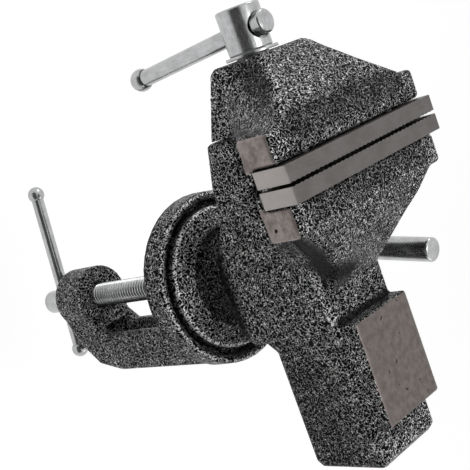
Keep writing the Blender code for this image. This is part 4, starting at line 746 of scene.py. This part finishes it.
# Lines of painted light and shade on the body. A change below 0 is painted shade in hollows, in creases,
# under overhangs and on faces that the lamps light less. A change above 0 is a painted highlight on edges
# and tops.
FLARE_HOLLOW_SHADE = both_sides((23.5, -11.5, 68.0), (16.0, -3.0, 65.0), 6.5, -0.72)
BEAM_CORNER_SHADE = ((16.0, -3.0, 65.0), (6.0, 1.5, 65.5), 5.4, -0.75)
FLARE_ROOT_SHADE = both_sides((22.0, -12.0, 64.0), (13.5, 3.6, 61.5), 1.6, -0.85)
PAD_FOOT_SHADE = ((12.5, 15.9, 61.5), (-12.5, 16.1, 61.5), 1.9, -0.85)
BEAM_EDGE_HIGHLIGHT = both_sides((14.0, -1.0, 59.0), (14.0, 15.0, 59.4), 1.8, 2.2)
BELLY_SHADE = both_sides((14.0, 15.0, 20.0), (14.0, -14.0, 20.0), 6.5, -0.85)
FIXED_TOP_SHADE = ((24.0, -23.0, 79.0), (-24.0, -23.0, 79.0), 7.0, -0.3)
TAIL_SIDE_SHADE = both_sides((14.0, 34.0, 36.0), (14.0, 60.0, 38.0), 22.0, -0.3)
TAIL_TOP_HIGHLIGHT = ((10.0, 59.0, 61.0), (-10.0, 59.0, 61.0), 5.0, 0.8)
BODY_LIGHT_AND_SHADE = (
    *FLARE_HOLLOW_SHADE, BEAM_CORNER_SHADE, *FLARE_ROOT_SHADE, PAD_FOOT_SHADE, *BEAM_EDGE_HIGHLIGHT, *BELLY_SHADE, FIXED_TOP_SHADE, *TAIL_SIDE_SHADE,
    TAIL_TOP_HIGHLIGHT,
)
# Painted shade in the moving jaw's hollow and on its top, and a painted highlight along its crest.
JAW_HOLLOW_SHADE = both_sides((11.5, -64.5, 58.0), (19.5, -54.0, 68.0), 6.0, -0.5)
JAW_CREST_HIGHLIGHT = both_sides((14.6, -58.8, 69.5), (23.9, -49.0, 77.0), 1.5, 1.6)
JAW_TOP_SHADE = ((24.0, -44.5, 79.0), (-24.0, -44.5, 79.0), 6.5, -0.4)
# Rings of painted shade in the rim's groove, round its foot, in the neck's pocket and on the turntable's
# side. Rings of painted highlight lie on the rim's and the turntable's edges.
RIM_GROOVE_SHADE = ((26.2, 0.0, 9.0), (26.0, 0.0, 4.0), 1.4, -0.4)
RIM_CREST_HIGHLIGHT = ((28.3, 0.0, 9.0), (28.4, 0.0, 9.0), 0.9, 3.0)
RIM_FOOT_SHADE = ((29.2, 0.0, 0.5), (29.2, 0.0, -1.5), 2.0, -0.6)
NECK_POCKET_SHADE = ((13.4, 0.0, 10.0), (11.0, 0.0, 19.0), 4.6, -0.42)
TURNTABLE_EDGE_HIGHLIGHT = ((23.4, 0.0, 9.4), (23.6, 0.0, 9.2), 0.9, 5.0)
TURNTABLE_SIDE_SHADE = ((23.9, 0.0, 7.5), (23.9, 0.0, 3.0), 2.0, -0.3)
CASTINGS = (
    ("clamp_frame", "base", (), (), (RIM_GROOVE_SHADE, RIM_CREST_HIGHLIGHT, RIM_FOOT_SHADE), None),
    (
        "vise_body", "head", (FIXED_PATCH, PAD_PATCH), BODY_LIGHT_AND_SHADE,
        (NECK_POCKET_SHADE, TURNTABLE_EDGE_HIGHLIGHT, TURNTABLE_SIDE_SHADE), clear_lock_bore,
    ),
    ("moving_jaw", "sliding_jaw", (MOVING_PATCH,), (*JAW_HOLLOW_SHADE, *JAW_CREST_HIGHLIGHT, JAW_TOP_SHADE), (), seat_chin),
)


class BuildCastings(bpy.types.Operator):
    """Rounded skins of the three castings in hammered paint, with their milled patches"""

    bl_idname = "vise.castings"
    bl_label = "Castings"

    def execute(self, context):
        settings = context.scene.vise_castings
        for node, body, windows, painted_light_lines, rings, fit in CASTINGS:
            piece = cast_skin(node, settings.cell, settings.passes, fit)
            paint = hammertone(node + "_paint", settings, windows, painted_light_lines, rings)
            finish_piece(piece, body, paint, "hammertone_iron", node)
        return {"FINISHED"}


# Jaw plates
PLATE_SCREWS = (("left", -20.0), ("right", 20.0))
PLATE_SCREW_LEVEL = 76.0
PLATE_SCREW_SUNK = 1.15
PLATE_END = 34.86


def plate_rings(low, high, grip, depth, pitch, softness):
    """Rounded section of a plate carried along X. The gripping side is drawn back by depth * t(x), a
    saw of the given pitch. At distance e from an end, under the softness s, the section shrinks by
    s - sqrt(2 s e - e^2)."""
    half = high[0]
    ends = softness * np.array((0.0, 0.15, 0.45, 1.0))
    steps = np.arange(-half + softness, half - softness + pitch / 16, pitch / 8)[1:-1]
    along = np.concatenate([-half + ends, steps, half - ends[::-1]])
    shrink = softness - np.sqrt(np.maximum(0.0, 2 * softness * ends - ends**2))
    shrink = np.concatenate([shrink, np.zeros(len(steps)), shrink[::-1]])
    place = ((along + half) / pitch + 0.5) % 1.0
    tooth = np.interp(place, [0.0, 0.25, 0.5, 0.85, 1.0], [1.0, 0.0, 0.0, 1.0, 1.0]) * depth
    size = (np.asarray(high) - np.asarray(low))[1:] / 2
    middle = (np.asarray(high) + np.asarray(low))[1:] / 2
    quarter = np.linspace(0.0, math.pi / 2, 4)
    corners = []
    for turn, (across, up) in enumerate(((1, 1), (-1, 1), (-1, -1), (1, -1))):
        angle = quarter + turn * math.pi / 2
        round_off = np.stack([np.cos(angle), np.sin(angle)], axis=1) * softness
        corners.append((size - softness) * (across, up) + round_off)
    section = np.concatenate(corners)
    rings = section[None] * (1.0 - shrink[:, None, None] / size)
    grips = np.sign(grip) * section[:, 0] > 0
    rings[:, :, 0] = rings[:, :, 0] - np.where(grips[None, :], np.sign(grip) * tooth[:, None], 0.0)
    x = np.broadcast_to(along[:, None], rings.shape[:2])
    return np.concatenate([x[:, :, None], rings + middle], axis=2)


def gripping_face(plate, grip):
    low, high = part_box(plate)
    return high[1] if grip > 0 else low[1]


def build_plate(name, grip):
    """Toothed plate with a countersunk hole for each screw."""
    tooth_depth, tooth_pitch, softness = 0.2 * MM, 2.0 * MM, 0.2 * MM
    rings = plate_rings(*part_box(name), grip, tooth_depth, tooth_pitch, softness)
    ends = [rings[k].mean(axis=0) for k in (0, -1)]
    plate = shell(name + "_toothed", rings, poles=ends, sharp=28.0)
    head, shank, above, below = 4.1, 2.3, 3.0, -9.0
    cone, root = -PLATE_SCREW_SUNK, -3.35
    hole = [(0.0, above), (head, above), (head, cone), (shank, root), (shank, below), (0.0, below)]
    face = gripping_face(name, grip) / MM
    spots = [np.array((side, face, PLATE_SCREW_LEVEL)) * MM for _, side in PLATE_SCREWS]
    return carve(plate, [turned("hole", hole, spot, (0.0, grip, 0.0), 48, 0.01) for spot in spots])


def build_plate_screw(name, grip, plate, side):
    """Countersunk head with a six-sided socket, whose radius is its flat's distance over the cosine of
    the angle from that flat's middle."""
    segments, flat, sixth = 48, 1.15, math.tau / 6
    angle = circle(segments)
    hexagon = flat / np.cos(angle % sixth - sixth / 2)
    socket = ((0.25, -1.55), (0.97, -1.4), (1.0, -1.3), (1.04, 0.0))
    body = ((1.75, 0.02), (3.6, 0.0), (3.78, -0.12), (2.05, -2.2), (2.0, -2.4), (2.0, -6.9), (1.6, -7.3))
    radii = [hexagon * share for share, _ in socket] + [np.full(segments, radius) for radius, _ in body]
    levels = np.array([level for _, level in (*socket, *body)]) * MM
    face = gripping_face(plate, grip) - grip * PLATE_SCREW_SUNK * MM
    spot = np.array((side * MM, face, PLATE_SCREW_LEVEL * MM))
    axis = np.array((0.0, grip, 0.0))
    rings = round_rings(np.array(radii) * MM, levels, spot, axis)
    return shell(name + "_countersunk", rings, poles=[spot + axis * levels[k] for k in (0, -1)])


class BuildJawPlates(bpy.types.Operator):
    """Toothed jaw plates and the screws that hold them"""

    bl_idname = "vise.jaw_plates"
    bl_label = "Jaw plates"

    def execute(self, context):
        steel = context.scene.vise_steel
        ends = ((PLATE_END * MM, 0.0, 0.0), (1.0, 1.0, 1.0))
        # The ends window gives the plates' ends their lighter colour: partly ground finish, partly painted
        # highlight.
        look = (0.34, (350.0, 5200.0, 5200.0), 160.0, 0.012 * MM, ends, steel.plate_end_and_highlight)
        milled = machined("Milled plate", steel.plate_dark, steel.plate_light, *look)
        for jaw, body, grip in (("fixed", "head", -1.0), ("moving", "sliding_jaw", 1.0)):
            plate = jaw + "_jaw_plate"
            finish_piece(build_plate(plate, grip), body, milled, "milled_steel", plate)
            for side_name, side in PLATE_SCREWS:
                node = f"{jaw}_plate_screw_{side_name}"
                screw = build_plate_screw(node, grip, plate, side)
                finish_piece(screw, body, blackened_steel(), "dark_screw_steel", node)
        return {"FINISHED"}


# Main screw
def build_main_screw(segments):
    """Drilled head, bearing with the clip's groove, thread and tip."""
    end, shoulder, groove_start, groove_end, run_out, tip = -79.6, -66.12, -56.8, -54.7, -54.3, 52.0
    head, bearing, groove, thread = 6.75, 5.0, 3.7, 4.9
    profile = [
        (0.0, end), (head - 0.45, end), (head, end + 0.45), (head, shoulder - 0.38), (head - 0.3, shoulder),
        (bearing, shoulder), (bearing, groove_start), (groove, groove_start), (groove, groove_end),
        (bearing, groove_end), (thread, run_out),
    ]
    shape = {"pitch": 3.0, "outer": thread, "depth": 1.2, "crest": 0.34, "root": 0.2, "fade": 1.5}
    rows = thread_rows(run_out + 0.1, tip - 0.8, **shape, columns=segments)
    nose = np.array([(4.5, tip - 0.5), (3.75, tip), (3.7, tip)])
    tail = softened(profile, 0.3)[1:]
    screw = spindle("main_screw_threaded", tail, rows, nose, tip, SCREW_CENTRE, ALONG_Y)
    bore, mouth, depth, reach = 3.25, 4.1, 4.95, 10.0
    cut = [(0.0, -reach), (bore, -reach), (bore, depth), (mouth, depth), (mouth, reach), (0.0, reach)]
    return carve(screw, [turned("bore", cut, HANDLE_CENTRE, UPWARDS, 56, 0.12)])


def build_clip():
    """Open ring, whose section's sides are cos and sin raised to a low power."""
    opening, radius, wide, thick, station, squareness = 0.66, 4.95, 0.95, 0.75, -55.75, 0.35
    along = np.linspace(math.pi * opening, math.pi * (3.0 - opening), 56)[:, None]
    across = circle(20)[None, :]
    out, along_axis = (np.sign(f) * np.abs(f) ** squareness for f in (np.cos(across), np.sin(across)))
    reach = radius + out * wide
    y = station + along_axis * thick + 0.0 * along
    rings = np.stack([reach * np.cos(along), y, SCREW_CENTRE[2] / MM + reach * np.sin(along)], axis=2) * MM
    return shell("retaining_clip_open", rings, poles=[rings[k].mean(axis=0) for k in (0, -1)])


class BuildMainScrew(bpy.types.Operator):
    """Lead screw with its drilled head, washer, clip, nut and the slide's stop pin"""

    bl_idname = "vise.main_screw"
    bl_label = "Main screw"

    def execute(self, context):
        segments = context.scene.vise_steel.segments
        finish_plated(build_main_screw(segments), "lead_screw", "main_screw")
        bore, rim, head_side, jaw_side, split = 5.3, 8.15, -66.1, -65.1, -65.6
        ring = [(bore, split), (bore, head_side), (rim, head_side), (rim, jaw_side), (bore, jaw_side)]
        where = (SCREW_CENTRE, ALONG_Y, segments)
        washer = turned("main_screw_washer_flat", ring, *where, softness=0.18, poles=False)
        finish_plated(washer, "lead_screw", "main_screw_washer")
        finish_piece(build_clip(), "lead_screw", blackened_steel(), "dark_screw_steel", "retaining_clip")
        for node, material in (("lead_nut", plain_steel()), ("slide_stop_pin", blackened_steel())):
            cover(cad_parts[node], material)
        return {"FINISHED"}


# Handles
class BuildMainHandle(bpy.types.Operator):
    """Sliding bar of the main screw with its barrel knob and ball knob"""

    bl_idname = "vise.main_handle"
    bl_label = "Main handle"

    def execute(self, context):
        where = (HANDLE_CENTRE, HANDLE_AXIS, context.scene.vise_steel.segments)
        bar = turned("main_handle_bar_drawn", plain_bar(2.7, -49.4, 7.95), *where)
        finish_plated(bar, "main_handle", "main_handle_bar", "Drawn plating")
        bore, floor, low, high, radius, edge, crown = 2.95, 8.25, 5.45, 9.45, 3.6, 0.5, 9.55
        barrel = [
            (0.0, floor), (bore, floor), (bore, low), (radius - edge, low), (radius, low + edge),
            (radius, high - edge), (radius - edge, high), (2.65, high + 0.01), (2.45, crown), (0.0, crown),
        ]
        top = turned("main_handle_barrel_knob", barrel, *where, softness=0.2)
        finish_plated(top, "main_handle", "main_handle_knob_top")
        line = ball_line(radius=3.75, level=-50.0, way=-1, mouth=2.95)
        ball = turned("main_handle_ball_knob", line, *where, softness=0.0)
        finish_plated(ball, "main_handle", "main_handle_knob_bottom")
        return {"FINISHED"}


class BuildLockLever(bpy.types.Operator):
    """Bent rod that locks the swivel"""

    bl_idname = "vise.lock_lever"
    bl_label = "Swivel lock lever"

    def execute(self, context):
        stud = ((-6.3, 2.0), (-8.3, 2.0), (-8.6, 3.0), (-14.4, 3.0), (-15.2, 3.85), (-17.0, 3.85))
        start, radius, rod, edge, top = -20.0, 6.0, 3.85, 0.8, 56.0
        bend = np.linspace(0.0, math.pi / 2, 20)
        curve = np.stack([start - radius * np.sin(bend), radius * (1.0 - np.cos(bend))], axis=1)
        arm = np.stack([np.full(12, start - radius), np.linspace(radius + 2.0, top - 0.2, 12)], axis=1)
        round_off = np.linspace(0.1, math.pi / 2, 7)
        tip = np.stack([np.full(7, start - radius), top + edge * np.sin(round_off)], axis=1)
        flat = np.concatenate([[(x, 0.0) for x, _ in stud], curve, arm, tip])
        thick = [thickness for _, thickness in stud]
        radii = np.concatenate([thick, np.full(32, rod), rod - edge + edge * np.cos(round_off)]) * MM
        path = np.stack([flat[:, 0], 0.0 * flat[:, 0], flat[:, 1]], axis=1) * MM
        lean = np.array(Matrix.Rotation(-LOCK_LEAN, 3, "X"))
        path = path @ lean.T + np.array((0.0, 0.0, LOCK_LEVEL))
        side = lean @ np.array(ALONG_Y)
        lever = swept("lock_lever_bent", path, radii, side, context.scene.vise_steel.segments)
        finish_plated(lever, "swivel_lock", "lock_lever", "Drawn plating")
        return {"FINISHED"}


# Screw clamp
def build_clamp_screw(segments):
    """Drilled tail, thread, neck and ball end."""
    end, run_out, shoulder, tail, thread = -94.95, -84.3, -18.0, 4.5, 4.4
    profile = [(0.0, end), (tail - 0.8, end), (tail, end + 0.8), (tail, run_out - 0.3), (4.35, run_out)]
    shape = {"pitch": 1.5, "outer": thread, "depth": 0.7, "crest": 0.2, "root": 0.12, "fade": 1.0}
    rows = thread_rows(run_out + 0.1, shoulder - 0.4, **shape, columns=segments, per_turn=12)
    ball, neck = 3.4, 2.3
    tip = [(4.0, shoulder), (3.6, -17.8), (neck, -17.6), (neck, -13.6)]
    tip = np.concatenate([tip, ball_arc(ball, CLAMP_BALL_LEVEL, neck, 22)])
    pole = CLAMP_BALL_LEVEL + ball
    tail_line = softened(profile, 0.3)[1:]
    screw = spindle("clamp_screw_threaded", tail_line, rows, tip, pole, CLAMP_CENTRE, UPWARDS)
    bore = plain_bar(2.65, -10.0, 10.0)
    return carve(screw, [turned("bore", bore, CLAMP_HANDLE_CENTRE, CLAMP_HANDLE_AXIS, 48, 0.1)])


def build_clamp_pad(segments):
    """Turned pad with the ball's cavity, open at its hub's foot."""
    face, disc, edge, back, hub, foot = -5.0, 9.0, 0.8, -8.7, 6.2, -15.3
    cavity, mouth = 3.7, 2.9
    outer = [
        (0.0, face), (disc - edge, face), (disc, face - edge), (disc, back), (hub, back - edge), (hub, foot),
        (3.1, foot),
    ]
    inner = ball_arc(cavity, CLAMP_BALL_LEVEL, mouth, 16)
    line = np.concatenate([softened(outer, 0.3), inner, [(0.0, CLAMP_BALL_LEVEL + cavity)]])
    return turned("clamp_pad_turned", line, CLAMP_CENTRE, UPWARDS, segments, softness=0.0)


class BuildClampScrew(bpy.types.Operator):
    """Clamp screw with its ball end, and the swivelling pad"""

    bl_idname = "vise.clamp_screw"
    bl_label = "Clamp screw"

    def execute(self, context):
        segments = context.scene.vise_steel.segments
        finish_plated(build_clamp_screw(segments), "clamp_spindle", "clamp_screw", "Rolled plating")
        finish_piece(build_clamp_pad(segments), "pressure_pad", plain_steel(), "nut_steel", "clamp_pad")
        return {"FINISHED"}


class BuildClampHandle(bpy.types.Operator):
    """Bar and ball knobs of the clamp screw"""

    bl_idname = "vise.clamp_handle"
    bl_label = "Clamp handle"

    def execute(self, context):
        where = (CLAMP_HANDLE_CENTRE, CLAMP_HANDLE_AXIS, context.scene.vise_steel.segments)
        bar = turned("clamp_handle_bar_drawn", plain_bar(2.35, -43.6, 20.6), *where)
        finish_plated(bar, "clamp_handle", "clamp_handle_bar", "Bright bar plating")
        for place, level, way in (("front", -43.0, -1), ("rear", 20.0, 1)):
            line = ball_line(3.2, level, way, mouth=2.55)
            knob = turned(f"clamp_handle_{place}_ball", line, *where, softness=0.0)
            finish_plated(knob, "clamp_handle", "clamp_handle_knob_" + place)
        return {"FINISHED"}


# Studio
AIM = (0.0, -0.01, 0.03)
CAMERA_SPOT = (0.23086, -0.06476, 0.2647)
CAMERA_RIGHT = (-0.64927, 0.33905, 0.6808)
CAMERA_BACK = (0.67646, -0.15169, 0.72068)


def add_lamp(name, size, power, spot):
    lamp = bpy.data.lights.new(name, "AREA")
    lamp.shape = "DISK"
    lamp.size = size
    lamp.energy = power
    holder = link(name, lamp)
    holder.location = spot
    holder.rotation_euler = (Vector(AIM) - Vector(spot)).to_track_quat("-Z", "Y").to_euler()
    return holder


def add_sheet(name, spots, faces, material_name):
    """A stage piece and its material's empty tree."""
    mesh = bpy.data.meshes.new(name)
    mesh.from_pydata(spots.tolist(), [], faces)
    material = bpy.data.materials.new(material_name)
    mesh.materials.append(material)
    sheet = link(name, mesh)
    return sheet, empty_tree(material)


def add_card(name, strength):
    """Dimly lit screen that only the steel sees: an arc round the Y axis on the camera's side, from
    the bench's level to 60 degrees over it."""
    radius, half_width, count = 1.2, 1.5, 24
    angle = np.radians(np.linspace(0.0, 60.0, count))
    rows = [
        np.stack([radius * np.cos(angle), np.full(count, end), radius * np.sin(angle)], axis=1)
        for end in (-half_width, half_width)
    ]
    corner = np.arange(count - 1)
    faces = np.stack([corner, corner + 1, corner + count + 1, corner + count], axis=1)
    card, tree = add_sheet(name, np.concatenate(rows), faces.tolist(), name)
    light = add(tree, "Emission", {"Strength": strength})
    add(tree, "OutputMaterial", {"Surface": light.outputs[0]})
    for rays in ("camera", "diffuse", "transmission", "shadow"):
        setattr(card, "visible_" + rays, False)


def add_floor(studio):
    """Round floor, which glows evenly for the camera and the steel, and still takes the shadow."""
    radius, count = 4.0, 96
    angle = circle(count)
    level = np.full(count, CAD_BOX[0][2] - studio.drop)
    spots = np.stack([radius * np.cos(angle), radius * np.sin(angle), level], axis=1)
    tree = add_sheet("floor", spots, [list(range(count))], "Pale floor")[1]
    pale = add(tree, "BsdfDiffuse", {"Color": opaque(studio.floor)})
    rays = add(tree, "LightPath").outputs
    seen = larger(tree, rays["Is Camera Ray"], rays["Is Glossy Ray"])
    strength = times(tree, seen, studio.glow)
    glow = add(tree, "Emission", {"Color": WHITE, "Strength": strength})
    both = add(tree, "AddShader", {0: pale.outputs[0], 1: glow.outputs[0]})
    add(tree, "OutputMaterial", {"Surface": both.outputs[0]})


def add_sky(scene, strength):
    """White for the camera and for reflections, and a low even light on the vise."""
    world = bpy.data.worlds.new("Studio light")
    tree = empty_tree(world)
    rays = add(tree, "LightPath").outputs
    seen = larger(tree, rays["Is Glossy Ray"], rays["Is Transmission Ray"])
    seen = larger(tree, rays["Is Camera Ray"], seen)
    strength = mix_value(tree, seen, strength, 1.0)
    sky = add(tree, "Background", {"Color": WHITE, "Strength": strength})
    add(tree, "OutputWorld", {"Surface": sky.outputs[0]})
    scene.world = world


def add_camera(scene, focal_length):
    """Camera whose frame is worked out from its right and its back."""
    right, back = Vector(CAMERA_RIGHT).normalized(), Vector(CAMERA_BACK).normalized()
    up = back.cross(right).normalized()
    right = up.cross(back)
    lens = bpy.data.cameras.new("Camera")
    lens.sensor_width = 36.0
    lens.lens = focal_length
    lens.clip_start = 0.01
    lens.clip_end = 20.0
    camera = link("Camera", lens)
    turn = Matrix((right, up, back)).transposed().to_4x4()
    camera.matrix_world = Matrix.Translation(CAMERA_SPOT) @ turn
    scene.camera = camera


class BuildStudio(bpy.types.Operator):
    """Pale floor, even light and the camera"""

    bl_idname = "vise.studio"
    bl_label = "Studio"

    def execute(self, context):
        studio = context.scene.vise_studio
        add_floor(studio)
        add_sky(context.scene, studio.sky)
        add_lamp("Top lamp", 0.28, studio.top, (0.0, 0.05, 0.72))
        add_lamp("Side lamp", 0.3, studio.side, (0.58, -0.2, 0.27)).visible_glossy = False
        add_card("Dark screen", studio.screen)
        add_lamp("Front lamp", 0.28, studio.front, (-0.35, -0.55, 0.3))
        add_lamp("Back lamp", 0.28, studio.back, (-0.2, 0.55, 0.4))
        add_camera(context.scene, studio.lens)
        context.scene.view_settings.view_transform = "Standard"
        return {"FINISHED"}


class VisePanel(bpy.types.Panel):
    """Settings and pieces of the vise"""

    bl_label = "Bench Vise"
    bl_idname = "VIEW3D_PT_bench_vise"
    bl_space_type = "VIEW_3D"
    bl_region_type = "UI"
    bl_category = "Bench Vise"

    def draw(self, context):
        for name in SETTINGS:
            group = getattr(context.scene, name)
            box = self.layout.box()
            for field in group.bl_rna.properties:
                if field.identifier not in {"rna_type", "name"}:
                    box.prop(group, field.identifier)
        for operator in OPERATORS:
            self.layout.operator(operator.bl_idname)


SETTINGS = {"vise_castings": CastingSettings, "vise_steel": SteelSettings, "vise_studio": StudioSettings}
OPERATORS = (
    BuildCastings, BuildJawPlates, BuildMainScrew, BuildMainHandle, BuildLockLever, BuildClampScrew,
    BuildClampHandle, BuildStudio,
)


def register():
    for group in (*SETTINGS.values(), *OPERATORS, VisePanel):
        bpy.utils.register_class(group)
    for name, group in SETTINGS.items():
        setattr(bpy.types.Scene, name, PointerProperty(type=group))


def unregister():
    for name in SETTINGS:
        delattr(bpy.types.Scene, name)
    for group in (VisePanel, *reversed(OPERATORS), *reversed(SETTINGS.values())):
        bpy.utils.unregister_class(group)


def main():
    register()
    for operator in OPERATORS:
        getattr(bpy.ops.vise, operator.bl_idname.split(".")[1])()
    bpy.context.view_layer.update()


if __name__ == "__main__":
    main()
